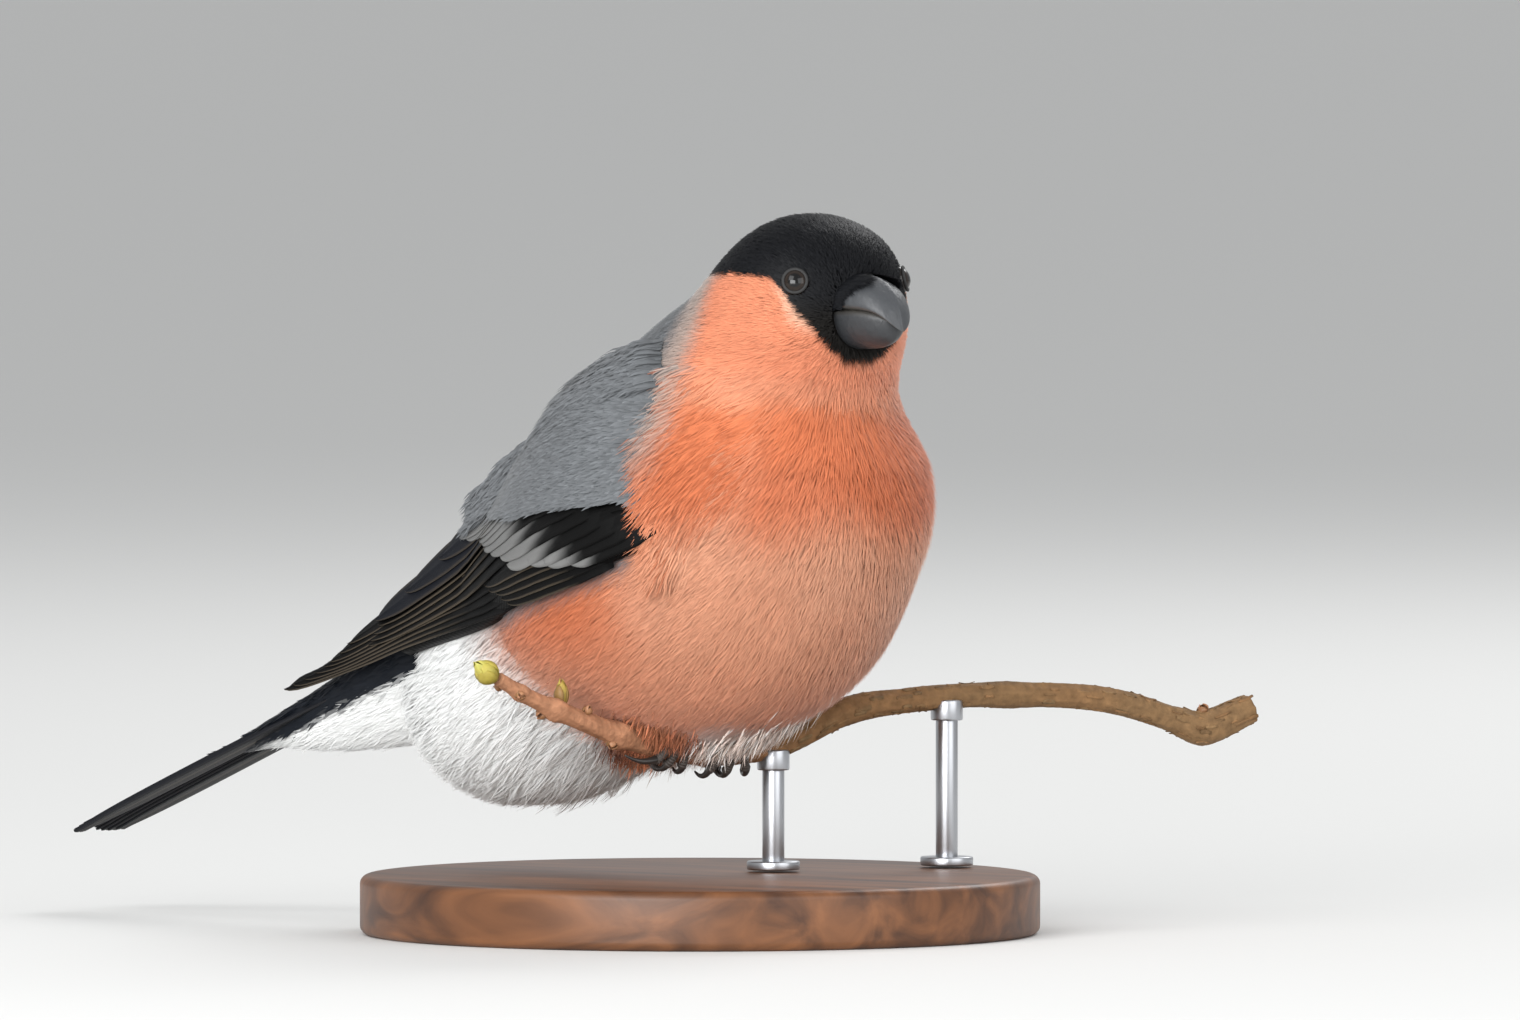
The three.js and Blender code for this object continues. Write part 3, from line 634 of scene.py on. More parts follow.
breadth = mix(breadth, 0.5, over_tail)
breadth = mix(breadth, 0.2, np.maximum(near_bill, near_eye)) * draw.uniform(0.8, 1.2, len(roots))
rise = COAT_DEPTH / MM * mix(mix(0.86, 1.0, white), 0.9, head_share) * mix(1.0, 0.75, over_tail)
rise = rise * draw.uniform(0.8, 1.08, len(roots))
clumps = 1 + 0.05 * ripple(outer, 1.3) + 0.04 * ripple(outer * [1, 1, 0.5], 0.55, 2)
tail_way = np.array([-math.cos(TAIL_SLOPE), 0, math.sin(TAIL_SLOPE)])
rearward = ease(0.15, 0.6, normals @ tail_way) * white * (1 - over_tail) * (outer[:, 2] < 44)
rise = mix(rise, draw.uniform(1.8, 3.6, len(roots)), rearward)
colours = colours * (clumps * draw.normal(1, 0.05, len(roots)).clip(0.8, 1.2))[:, None]
colours = colours * (1 + grey * draw.normal(0, 0.1, len(roots)).clip(-0.3, 0.3))[:, None]
flow = lie_of_coat(outer, normals)
under_bill = np.linalg.norm((outer - on_head(11.5, 0, -0.8)) / [6, 5.6, 5.6], axis=1) < 0.92
kept = ~under_bill

in_shins = np.zeros(len(roots), bool)
for leg_name in ("leg_right", "leg_left"):
    low, high = (np.array(corner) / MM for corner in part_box(leg_name))
    in_shins |= ((roots > low - 0.5) & (roots < [high[0] + 0.5, high[1] + 0.5, low[2] + 5])).all(1)
REGIONS = {
    "coat_cap": ((black > 0.5), cap_gloss, "black_plumage"),
    "coat_tail_root": ((over_tail > 0.5), cap_gloss, "black_plumage"),
    "coat_shins": (in_shins, soft_coat, "orange_plumage"),
    "coat_mantle": ((grey > 0.5), scaly_coat, "wing_plumage"),
    "coat_vent": ((white > 0.5), soft_coat, "orange_plumage"),
    "coat_face": ((outer[:, 2] > 76), soft_coat, "orange_plumage"),
    "coat_breast_right": ((outer[:, 0] > 3) & (outer[:, 1] < 0), soft_coat, "orange_plumage"),
    "coat_breast_left": ((outer[:, 0] > 3), soft_coat, "orange_plumage"),
    "coat_flanks": (np.ones(len(roots), bool), soft_coat, "orange_plumage"),
}
left_over = kept.copy()
for region, (wanted, finish, slot) in REGIONS.items():
    mine = left_over & wanted
    left_over &= ~wanted
    if mine.any():
        coat(region, finish, roots[mine], normals[mine], flow[mine], uv[mine], length[mine], breadth[mine],
             rise[mine], colours[mine], slot)

# Vent wisps: loose clumps of long white feathers that hang below and behind the vent. They are the coat's own
# long ends there, and they break up its outline.
VENT_WISPS = 4500
hanging = np.flatnonzero(kept & (white > 0.6) & (over_tail < 0.3) & (normals[:, 2] < -0.3) & (outer[:, 0] < 2))
chosen = draw.choice(hanging, min(VENT_WISPS, len(hanging)), replace=False)
clump = np.maximum(ripple(outer[chosen], 0.75, 5), 0)
wisp_flow = laid_flat(flow[chosen] + [-0.25, 0, -0.5] + draw.normal(0, 0.12, (len(chosen), 3)), normals[chosen])
coat("coat_vent_wisps", soft_coat, roots[chosen], normals[chosen], wisp_flow, uv[chosen],
     draw.uniform(5, 8.5, len(chosen)), draw.uniform(0.16, 0.26, len(chosen)), 1.4 + 1.9 * clump,
     VENT_WHITE * draw.normal(0.96, 0.05, (len(chosen), 1)).clip(0.8, 1.1), "orange_plumage", 0.9)

# Tufts that are laid over the coat later take the bake place of the nearest tuft of the body, of one in six.
BAKE_STRIDE = 6
skin_places = KDTree(len(roots[::BAKE_STRIDE]))
for number, root in enumerate(roots[::BAKE_STRIDE]):
    skin_places.insert(root, number)
skin_places.balance()
skin_uv = uv[::BAKE_STRIDE]


def bake_place(points):
    """The place on the skin's unwrap of the body tuft nearest to each point."""
    return skin_uv[[skin_places.find(point)[1] for point in points]]


# Wings: a folded fan of long feathers under rows of coverts, laid on a surface from the shoulder to the tip
# that is draped over the flank. A place on it is s along, v across and a lift, as in the carved wing.
WING_BACK_EDGE = np.array([
    (8, 15, 73), (-5, 14.5, 69), (-18, 12.5, 62.5), (-31.5, 9.5, 54.2), (-44.5, 8.2, 45), (-56, 7.8, 37),
    (-63.5, 7.8, 32.4),
])
WING_BELLY_EDGE = np.array([
    (13, 24, 54), (1.5, 24.5, 49.5), (-11, 22.5, 45.3), (-24, 18.5, 41.2), (-37.5, 14, 38), (-51, 10.2, 34.4),
    (-64.5, 7.8, 31.2),
])


def along_route(points, t):
    """Points at t from 0 to 1 on a smooth curve through the given points, evenly shared between them."""
    points = np.asarray(points, float)
    last = len(points) - 1
    spot = np.clip(np.asarray(t, float), 0, 1) * last
    i = np.minimum(spot.astype(int), last - 1)
    w = (spot - i)[..., None]
    padded = np.concatenate([[2 * points[0] - points[1]], points, [2 * points[-1] - points[-2]]])
    p0, p1, p2, p3 = (padded[i + k] for k in range(4))
    d0, d1, d2 = (np.linalg.norm(b - a, axis=-1, keepdims=True) ** 0.5
                  for a, b in ((p0, p1), (p1, p2), (p2, p3)))
    m1 = ((p1 - p0) / d0 - (p2 - p0) / (d0 + d1) + (p2 - p1) / d1) * d1
    m2 = ((p2 - p1) / d1 - (p3 - p1) / (d1 + d2) + (p3 - p2) / d2) * d1
    return p1 + m1 * w + (-3 * p1 + 3 * p2 - 2 * m1 - m2) * w ** 2 + (2 * p1 - 2 * p2 + m1 + m2) * w ** 3


def drape(s, v):
    back, belly = along_route(WING_BACK_EDGE, s), along_route(WING_BELLY_EDGE, s)
    spot = back + (belly - back) * v[..., None]
    for _ in range(8):
        short = np.maximum(0.7 - plumage_distance(spot), 0)
        spot = spot + plumage_normal(spot) * short[..., None]
    return spot


V_LOW, V_HIGH = -1.6, 2.6
S_GRID, V_GRID = np.meshgrid(np.linspace(0, 1, 81), np.linspace(V_LOW, V_HIGH, 85), indexing="ij")
wing_sheet = drape(S_GRID, V_GRID)
sheet_along, sheet_across = np.gradient(wing_sheet, axis=0), np.gradient(wing_sheet, axis=1)
wing_sheet_normal = -unit(np.cross(sheet_along, sheet_across))
if wing_sheet_normal[20, 40, 1] < 0:
    wing_sheet_normal = -wing_sheet_normal


def wing_point(side, s, v, lift):
    """Places on one wing, lift away from the draped sheet."""
    row = np.clip(s, 0, 1) * (S_GRID.shape[0] - 1)
    column = (np.clip(v, V_LOW, V_HIGH) - V_LOW) / (V_HIGH - V_LOW) * (S_GRID.shape[1] - 1)
    i = np.minimum(row.astype(int), S_GRID.shape[0] - 2)
    j = np.minimum(column.astype(int), S_GRID.shape[1] - 2)
    a, b = (row - i)[..., None], (column - j)[..., None]

    def sampled(sheet):
        low = sheet[i, j] * (1 - b) + sheet[i, j + 1] * b
        return low * (1 - a) + (sheet[i + 1, j] * (1 - b) + sheet[i + 1, j + 1] * b) * a

    spot = sampled(wing_sheet) + unit(sampled(wing_sheet_normal)) * np.asarray(lift)[..., None]
    return spot * np.array([1, side, 1])


def wing_chord(s):
    return np.linalg.norm(along_route(WING_BACK_EDGE, s) - along_route(WING_BELLY_EDGE, s), axis=-1)


VANE_ROWS, VANE_COLUMNS = 18, 9
VANE_THICKNESS = 0.14
UNDERSIDE_PAINTED_SHADE = 0.8
BAKE_MARGIN = 0.06
vane_t = 1 - (1 - np.linspace(0, 1, VANE_ROWS)) ** 1.7
vane_u = np.linspace(-1, 1, VANE_COLUMNS)


def closed_blades(name, material, tops, bottoms, paints, bake_columns=8):
    """Joins thin closed blades, each from a facing pair of grids of rows by columns of points."""
    count, rows, columns, _ = tops.shape
    points = np.stack([tops, bottoms], 1).reshape(-1, 3)
    grid = np.arange(rows * columns).reshape(rows, columns)
    under = grid + rows * columns
    over = np.stack([grid[:-1, :-1], grid[1:, :-1], grid[1:, 1:], grid[:-1, 1:]], -1).reshape(-1, 4)
    below = np.stack([under[:-1, :-1], under[:-1, 1:], under[1:, 1:], under[1:, :-1]], -1).reshape(-1, 4)
    rim = np.concatenate([grid[:, 0], grid[-1, 1:], grid[-2::-1, -1], grid[0, -2:0:-1]])
    following = np.roll(rim, -1)
    edge = np.stack([rim, rim + rows * columns, following + rows * columns, following], -1)
    quad = np.concatenate([over, below, edge])
    corners = (quad[None] + 2 * rows * columns * np.arange(count)[:, None, None]).ravel()
    sizes = np.full(count * len(quad), 4)
    u, v = np.meshgrid(np.linspace(0, 1, columns), np.linspace(0, 1, rows))
    vane_uv = np.tile(np.stack([u, v], -1).reshape(-1, 2), (2 * count, 1))
    bake_rows = math.ceil(2 * count / bake_columns)
    cell = np.arange(2 * count)
    corner = np.stack([cell % bake_columns, cell // bake_columns], -1) + BAKE_MARGIN
    bake = corner[:, None, :] + (1 - 2 * BAKE_MARGIN) * np.stack([u, v], -1).reshape(1, -1, 2)
    bake = (bake / [bake_columns, bake_rows]).reshape(-1, 2)
    # The lower sheet of each blade takes its colours painted darker, as painted shade on its underside.
    colours = np.stack([paints, paints * UNDERSIDE_PAINTED_SHADE], 1).reshape(-1, 3)
    piece = mesh_of(name, points, corners, sizes, material, {"OFBake": bake, "Vane": vane_uv}, colours)
    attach(piece, "root")
    return piece


def vane_breadth(t, blunt):
    """A feather's half breadth from root to tip, as a share of its greatest."""
    return np.minimum(0.5 + 2.2 * t, 1) ** 0.7 * (1 - np.clip((t - 0.45) / 0.55, 0, 1) ** blunt) ** 0.55


WING_BLACK = linear(10, 10, 10)
WING_EDGE = linear(88, 79, 67)
BAR_GREY = linear(116, 116, 115)
GLOSS_BLUE = linear(17, 19, 25)


def wing_feather_row(side, count, roots, tips, half, lift, tilt, paint, blunt, layer):
    """Top and bottom grids and colours of one row of wing feathers."""
    tops, bottoms, paints = [], [], []
    t, u = np.meshgrid(vane_t, vane_u, indexing="ij")
    for index in range(count):
        step = index / max(count - 1, 1)
        root = mix(np.array(roots[0]), np.array(roots[1]), step)
        tip = np.array([np.interp(step, np.linspace(0, 1, len(tips)), places) for places in zip(*tips)])
        tip[0] += draw.normal(0, 0.004)
        s = mix(root[0], tip[0], t)
        ragged = 1 + 0.02 * np.sin(31 * t + 9 * index) * np.abs(u)
        across = u * half * vane_breadth(t, blunt) * ragged
        v = mix(root[1], tip[1], t) + across / wing_chord(s)
        shaft = 0.13 * np.exp(-((u / 0.13) ** 2))
        rise = lift + layer * index + u * tilt + shaft - 0.8 * np.maximum(0, 1 - t / 0.2)
        tops.append(wing_point(side, s, v, rise))
        bottoms.append(wing_point(side, s, v, rise - VANE_THICKNESS))
        paints.append(paint(t, u, index))
    return tops, bottoms, paints


def flight_paint(t, u, index):
    edge = ease(0.8, 0.97, u) * ease(0.25, 0.5, t)
    colour = WING_BLACK + (WING_EDGE - WING_BLACK) * (0.75 * edge)[..., None]
    shaft = np.exp(-((u / 0.1) ** 2))[..., None]
    return colour * (1 - 0.35 * shaft)


def tertial_paint(t, u, index):
    edge = ease(0.8, 1.0, np.abs(u)) * 0.4
    return GLOSS_BLUE + (WING_EDGE - GLOSS_BLUE) * edge[..., None]


def covert_paint(t, u, index):
    start = 0.36 + 0.02 * index
    tipped = ease(start, start + 0.2, t + 0.06 * np.cos(3 * u) + 0.03 * np.sin(23 * u + index))
    barred = tipped * (0.94 + 0.06 * np.sin(31 * u + index))
    return WING_BLACK + (BAR_GREY - WING_BLACK) * barred[..., None]


vane_gloss = shader("feather vanes", roughness=0.48, specular=0.09)
attribute_colour(vane_gloss, "coat_colour")
BARB_SLANT, BARB_WAVE = -0.35, 420
across_vane, along_vane = uv_axes(vane_gloss, "Vane")
from_shaft = maths(vane_gloss, "ABSOLUTE", maths(vane_gloss, "SUBTRACT", across_vane, 0.5))
slanted = maths(vane_gloss, "MULTIPLY_ADD", from_shaft, BARB_SLANT, along_vane)
barbs = maths(vane_gloss, "SINE", maths(vane_gloss, "MULTIPLY", slanted, BARB_WAVE))
bump_from(vane_gloss, barbs, 0.35, 0.00004)

# Each row of feathers, from the back's edge to the belly's: how many, the places (s, v) of the first and last
# roots and of the tips, half the breadth, the lift and tilt, the colours, how blunt, and the lift of each over
# the last. They are the primaries, secondaries, tertials, primary coverts and greater coverts.
WING_ROWS = (
    (8, ((0.3, 0.5), (0.34, 0.93)), ((0.8, 0.15), (0.995, 0.7)), 1.9, 0.5, 0.3, flight_paint, 4.0, 0.02),
    (6, ((0.24, 0.2), (0.28, 0.62)), ((0.7, 0.12), (0.76, 0.55)), 2.3, 0.75, 0.35, flight_paint, 4.0, 0.0),
    (3, ((0.2, 0.08), (0.22, 0.34)), ((0.56, 0.1), (0.72, 0.2)), 3.0, 1.2, 0.35, tertial_paint, 4.0, 0.0),
    (5, ((0.14, 0.78), (0.12, 0.97)), ((0.42, 0.74), (0.36, 0.95)), 1.5, 0.95, 0.3, flight_paint, 4.0, 0.0),
    (13, ((0.24, 0.09), (0.02, 0.84)), ((0.5, 0.08), (0.45, 0.3), (0.405, 0.5), (0.33, 0.74), (0.2, 0.86)),
     2.3, 1.35, 0.3, covert_paint, 5.0, 0.0),
)
HAND_TOP, HAND_BOTTOM = 1.1, -1.2

for side, word in SIDES:
    rows = [wing_feather_row(side, *row) for row in WING_ROWS]
    tops, bottoms, paints = (np.array([grid for row in rows for grid in row[k]]) for k in range(3))
    if side == LEFT:
        tops, bottoms, paints = tops[:, :, ::-1], bottoms[:, :, ::-1], paints[:, :, ::-1]
    wing = closed_blades(f"wing_feathers_{word}", vane_gloss, tops, bottoms, paints)
    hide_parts(f"wing_{word}")

    core_s, core_v = np.meshgrid(np.linspace(0.012, 0.7, 40), np.linspace(0.03, 0.97, 16), indexing="ij")
    crown = np.minimum(1, core_s * 6) ** 0.5 * np.sin(np.pi * mix(0.1, 0.9, core_v)) ** 0.5
    by_back = (1 - ease(0.34, 0.46, core_s)) * (1 - ease(0.2, 0.4, core_v))
    top = wing_point(side, core_s, core_v, HAND_TOP * crown * (1 - core_s))[None]
    bottom = wing_point(side, core_s, core_v, np.full(core_s.shape, HAND_BOTTOM))[None]
    paint = mix(WING_BLACK, MANTLE_GREY, by_back[None, ..., None])
    if side == LEFT:
        top, bottom, paint = top[:, :, ::-1], bottom[:, :, ::-1], paint[:, :, ::-1]
    closed_blades(f"wing_hand_{word}", vane_gloss, top, bottom, paint, 2)

# Shoulder: short blue-grey feathers that run back over the front of the folded wing, down to the black bases
# of the big coverts, and longer scapulars that close the gap from the back to the wing. They are rooted on the
# wing's own surface.
SHOULDER_TUFTS = 14000
SCAPULARS = 4500
SHOULDER_REACH = ((0, 0.42), (0.35, 0.35), (0.5, 0.27), (0.58, 0.15), (0.65, 0.03), (0.8, -0.01), (1, -0.03))


def shoulder(side, word):
    s = draw.uniform(0.0, 0.42, SHOULDER_TUFTS * 3)
    v = draw.uniform(-0.2, 1.0, SHOULDER_TUFTS * 3)
    reach = np.interp(v, *zip(*SHOULDER_REACH))
    within = s < reach + draw.normal(0, 0.01, len(s))
    s, v = s[within][:SHOULDER_TUFTS], v[within][:SHOULDER_TUFTS]
    swell = 2.0 * np.minimum(1, s * 14) ** 0.5 * np.clip(1.3 - np.abs(v - 0.4), 0.3, 1)
    swell = swell * ease(-0.25, 0.12, v)
    root = wing_point(side, s, v, swell - 0.7)
    ahead = wing_point(side, s + 0.03, v, swell - 0.7)
    normals = unit(wing_point(side, s, v, swell + 1) - root)
    flow = laid_flat(ahead - root + draw.normal(0, 0.12, root.shape), normals)
    tint = MANTLE_GREY * draw.normal(0.97, 0.13, (len(s), 1)).clip(0.6, 1.4)
    uv = np.stack([s / 0.45, (v + 0.2) / 1.2], -1) * 0.9 + 0.05
    coat(f"coat_shoulder_{word}", scaly_coat, root, normals, flow, uv, draw.uniform(2.6, 4.2, len(s)),
         draw.uniform(0.4, 0.65, len(s)), draw.uniform(0.75, 1.05, len(s)), tint, "wing_plumage", 0.6)


def scapulars(side, word):
    s = draw.uniform(0.0, 0.46, SCAPULARS)
    v = draw.uniform(-0.3, 0.06, SCAPULARS)
    root = wing_point(side, s, v, -0.6 + 0.8 * ease(-0.15, 0.06, v))
    ahead = wing_point(side, s + 0.05, v + 0.09, np.zeros(SCAPULARS))
    flat = np.zeros(SCAPULARS)
    normals = unit(wing_point(side, s, v, flat + 1) - wing_point(side, s, v, flat))
    flow = laid_flat(ahead - root + draw.normal(0, 0.15, root.shape), normals)
    tint = MANTLE_GREY * draw.normal(0.98, 0.12, (SCAPULARS, 1)).clip(0.6, 1.4)
    uv = np.stack([s / 0.5, (v + 0.3) / 0.4], -1) * 0.9 + 0.05
    coat(f"coat_scapulars_{word}", scaly_coat, root, normals, flow, uv, draw.uniform(3.2, 5.5, SCAPULARS),
         draw.uniform(0.45, 0.75, SCAPULARS), draw.uniform(1.3, 2.3, SCAPULARS), tint, "wing_plumage", 0.65)


for side, word in SIDES:
    shoulder(side, word)
for side, word in SIDES:
    scapulars(side, word)

# Strands over the wing: long loose breast feathers rooted just ahead of the folded wing, that sweep back over
# its front edge and break up the line where it meets the body.
STRANDS = 8000


def over_wing(side, word):
    v = draw.uniform(-0.15, 1.12, STRANDS)[:, None]
    ahead = draw.uniform(0, 1, (STRANDS, 1)) ** 1.3
    forward = mix(-0.5, 15, ahead * (1 - 0.65 * ease(0.5, 1.0, v)))
    root = mix(WING_BACK_EDGE[0], WING_BELLY_EDGE[0], v) + forward * np.array([1, 0, 0.15])
    for _ in range(4):
        root = root - plumage_normal(root) * (plumage_distance(root) + 0.6)[:, None]
    wingwards = drape(np.full(STRANDS, 0.16), v[:, 0] + 0.12)
    normals = plumage_normal(root)
    flow = unit(wingwards - root) + np.array([-0.1, 0, -0.75]) + draw.normal(0, 0.1, root.shape)
    flow = laid_flat(flow, normals)
    tint = markings(root)[0] * draw.normal(0.97, 0.08, (STRANDS, 1)).clip(0.7, 1.3)
    tint = blended(tint, THROAT_ORANGE * 0.6, 0.6 * (draw.random(STRANDS) < 0.12))
    mirror = np.array([1, side, 1])
    rise = mix(2.7, 0.4, np.minimum(1, ahead[:, 0] * 1.4)) * draw.uniform(0.75, 1.0, STRANDS)
    coat(f"coat_over_wing_{word}", soft_coat, root * mirror, normals * mirror, flow * mirror,
         bake_place(root * mirror), draw.uniform(4, 7.5, STRANDS), draw.uniform(0.2, 0.32, STRANDS), rise, tint,
         "orange_plumage")


for side, word in SIDES:
    over_wing(side, word)

# Tail: six pairs of long feathers in a closed fan, the middle pair on top, and a soft cone of coverts round
# their roots, white beneath and glossy black above.
TAIL_LENGTH = 77
TAIL_SHORTS = (0.8, 0.4, 0, 0.3, 0.9, 1.8)
TAIL_HALF_BREADTH = 2.25
TAIL_BLACK = linear(22, 24, 29)
TAIL_BELOW = linear(40, 40, 42)
SHAFT_PALE = linear(92, 88, 82)


def on_tail(along, outward, up):
    """Places by distance along the tail from its root, out from its middle line and above it."""
    x, z = -along, up
    turned_x = x * math.cos(TAIL_SLOPE) + z * math.sin(TAIL_SLOPE)
    turned_z = -x * math.sin(TAIL_SLOPE) + z * math.cos(TAIL_SLOPE)
    return np.stack([turned_x, outward + 0 * x, turned_z], -1) + TAIL_ROOT


def tail_feathers():
    tops, bottoms, paints = [], [], []
    t, u = np.meshgrid(vane_t, vane_u, indexing="ij")
    for side in (RIGHT, LEFT):
        for pair, short in enumerate(TAIL_SHORTS):
            along = mix(14, TAIL_LENGTH - short, t)
            half = TAIL_HALF_BREADTH * np.maximum(vane_breadth(t, 4), 0.4)
            outward = mix(0.7 + 0.5 * pair, 1.0 + 0.68 * pair, t) + u * side * half
            up = 0.45 - 0.26 * pair + 0.1 * np.exp(-((u / 0.1) ** 2)) - 0.05 * np.abs(u) * side
            tops.append(on_tail(along, side * outward, up))
            bottoms.append(on_tail(along, side * outward, up - 0.2 - VANE_THICKNESS))
            paints.append(TAIL_BLACK + (TAIL_BELOW - TAIL_BLACK) * (0.25 * np.abs(u))[..., None])
    return np.array(tops), np.array(bottoms), np.array(paints)


tops, bottoms, paints = tail_feathers()
tail = closed_blades("tail_feathers", vane_gloss, tops[:, :, ::-1], bottoms[:, :, ::-1], paints)
layer = tail.data.color_attributes["coat_colour"]
values = np.empty(len(layer.data) * 4, np.float32)
layer.data.foreach_get("color", values)
values = values.reshape(len(tops), 2, VANE_ROWS, VANE_COLUMNS, 4)
below = TAIL_BELOW + (SHAFT_PALE - TAIL_BELOW) * np.exp(-((vane_u / 0.16) ** 2))[:, None]
values[:, 1, :, :, :3] = below
layer.data.foreach_set("color", values.ravel())
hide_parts("tail")

# The cone of coverts: distance along the tail, half width, top and bottom of each section.
COVERT_SECTIONS = [(-6, 8.6, 3.4, -13), (0, 9, 4.2, -15), (8, 8.6, 4.0, -15), (18, 7.6, 3.0, -12),
                   (30, 5.8, 1.9, -8), (40, 4.6, 1.2, -3.6), (48, 3, 0.5, -1)]
COVERT_INSET = 0.7
CONE_ROWS, CONE_SIDES = 40, 36
angle = 2 * np.pi * np.arange(CONE_SIDES) / CONE_SIDES
covert_rings = []
for along, half, top, bottom in COVERT_SECTIONS:
    rise = np.sin(angle)
    up = np.where(rise > 0, (top - 0.2) * rise, -(bottom + COVERT_INSET) * rise)
    covert_rings.append(on_tail(np.full(CONE_SIDES, float(along)), (half - COVERT_INSET) * np.cos(angle), up))
rings = along_route(np.array(covert_rings).reshape(len(covert_rings), -1), np.linspace(0, 1, CONE_ROWS))
rings = rings.reshape(CONE_ROWS, CONE_SIDES, 3)


def covert_colour(p):
    """White below the tail and glossy black above it."""
    return blended(in_one(VENT_WHITE, len(p)), COVERT_BLACK, tail_covert_share(p))


tail_base = mesh_of("tail_base", *closed_loft(rings, rings[[0, -1]].mean(1)), down)
unwrap_for_baking(tail_base)
# The cone's core takes the covert colours painted darker. This is painted shade under the covert tufts.
paint_vertices(tail_base, "coat_colour", covert_colour(vertex_places(tail_base.data)) * 0.75)
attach(tail_base, "root")
COVERT_TUFTS = 16000
roots, normals, uv = roots_on(tail_base, COVERT_TUFTS, lambda p: ease(-5.5, -4, tail_place(p)[0]))
trailing = tail_place(roots + normals)[0] - tail_place(roots)[0]
sideways = np.abs(trailing) < 0.7
roots, normals, uv = roots[sideways], normals[sideways], uv[sideways]
tailwards = on_tail(np.array([1.0]), 0, np.array([0.0]))[0] - TAIL_ROOT
flow = laid_flat(tailwards + draw.normal(0, 0.035, roots.shape), normals)
tone = covert_colour(roots)
dark = tone[:, 0] < 0.3
for name, mine, finish, slot in (("coat_over_tail", dark, cap_gloss, "black_plumage"),
                                 ("coat_under_tail", ~dark, soft_coat, "orange_plumage")):
    many = mine.sum()
    coat(name, finish, roots[mine], normals[mine], flow[mine], uv[mine], draw.uniform(3.5, 6, many),
         np.where(dark[mine], 0.6, 0.3) * draw.uniform(0.8, 1.2, many), draw.uniform(0.1, 0.4, many),
         tone[mine] * draw.normal(1, 0.05, (many, 1)), slot)

# Bill: two short, deep, swollen halves of horn with a fine grain. The upper overhangs the lower, and their
# cutting edges are paler. Each is lofted along its length and then smoothed.
BILL_BASE = 7.0
BILL_TIP = 19.3
LOWER_TIP = 0.93
BILL_HALF_WIDTH = 5.0
MOUTH_GAP = -0.5
BILL_GREY = linear(62, 64, 67)
BILL_EDGE = linear(84, 80, 74)
BILL_ROOT = linear(26, 26, 27)


def bill_half(upper):
    """Rings of points along one half, its end points, and the colour of each point."""
    rows, columns = 26, 21
    tip = 1.0 if upper else LOWER_TIP
    t = tip * np.linspace(0, 1, rows) ** 0.8
    edge = -0.15 - 2.75 * t ** 7 + (MOUTH_GAP if upper else -MOUTH_GAP) / 2
    if upper:
        ridge = np.maximum(-2.9 + 7.3 * (1 - np.minimum(t, 1) ** 4) ** 0.6, edge + 0.12)
    else:
        ridge = np.minimum(-1.9 - 3.6 * (1 - np.minimum(t / LOWER_TIP, 1) ** 5) ** 0.4, edge - 0.12)
    half = BILL_HALF_WIDTH * (1 if upper else 0.94) * np.sqrt(np.maximum(1 - (t / tip) ** 2.4, 0.0025))
    angle = np.linspace(0, np.pi, columns)
    points, paint = [], []
    for i in range(rows):
        swell = np.sin(angle) ** 0.8
        aside = half[i] * np.cos(angle)
        up = mix(edge[i], ridge[i], swell)
        keel = 0.25 * np.exp(-((angle - np.pi / 2) / 0.16) ** 2) * (1 if upper else -0.4)
        forward = np.full(columns, mix(BILL_BASE, BILL_TIP, t[i]))
        ring = np.stack([forward, aside, up + keel * ease(0, 0.2, t[i])], -1)
        points.append(ring @ HEAD_AXES.T + SKULL_CENTRE)
        # The lower half is painted darker than the upper, as painted shade under the overhanging upper half.
        tone = mix(BILL_EDGE, BILL_GREY * (1 if upper else 0.7), ease(0.02, 0.22, swell)[:, None])
        paint.append(mix(BILL_ROOT, tone, ease(0.02, 0.42, t[i]) * (1 if upper else 0.8)))
    ends = [points[0].mean(0), points[-1].mean(0)]
    return np.array(points), ends, np.concatenate([np.concatenate(paint), [BILL_GREY, BILL_EDGE]])


def grained(material, scale, strength, distance, stretch=(1, 1, 1)):
    """Adds a fine grain to the surface, on object coordinates."""
    place = node(material, "ShaderNodeTexCoord")
    spread = node(material, "ShaderNodeMapping")
    spread.inputs["Scale"].default_value = stretch
    grain = node(material, "ShaderNodeTexNoise")
    grain.inputs["Scale"].default_value = scale
    grain.inputs["Detail"].default_value = 6
    wire(material, place.outputs["Object"], spread.inputs["Vector"])
    wire(material, spread.outputs["Vector"], grain.inputs["Vector"])
    bump_from(material, grain.outputs["Fac"], strength, distance)


horn = shader("bill horn", roughness=0.4, specular=0.42)
attribute_colour(horn, "coat_colour", 0.18, 1500)
grained(horn, 1500, 0.7, 0.00014, (1, 1, 0.45))
for upper, name, replaced in ((True, "upper_bill", "bill_upper"), (False, "lower_bill", "bill_lower")):
    rings, ends, colours = bill_half(upper)
    half = mesh_of(name, *closed_loft(rings, ends), horn, colours=colours)
    in_edit_mode(half, bpy.ops.mesh.normals_make_consistent, inside=False)
    finish_modifier(half, "SUBSURF", levels=1, render_levels=1)
    bpy.ops.object.shade_smooth()
    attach(half, "root")
    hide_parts(replaced)

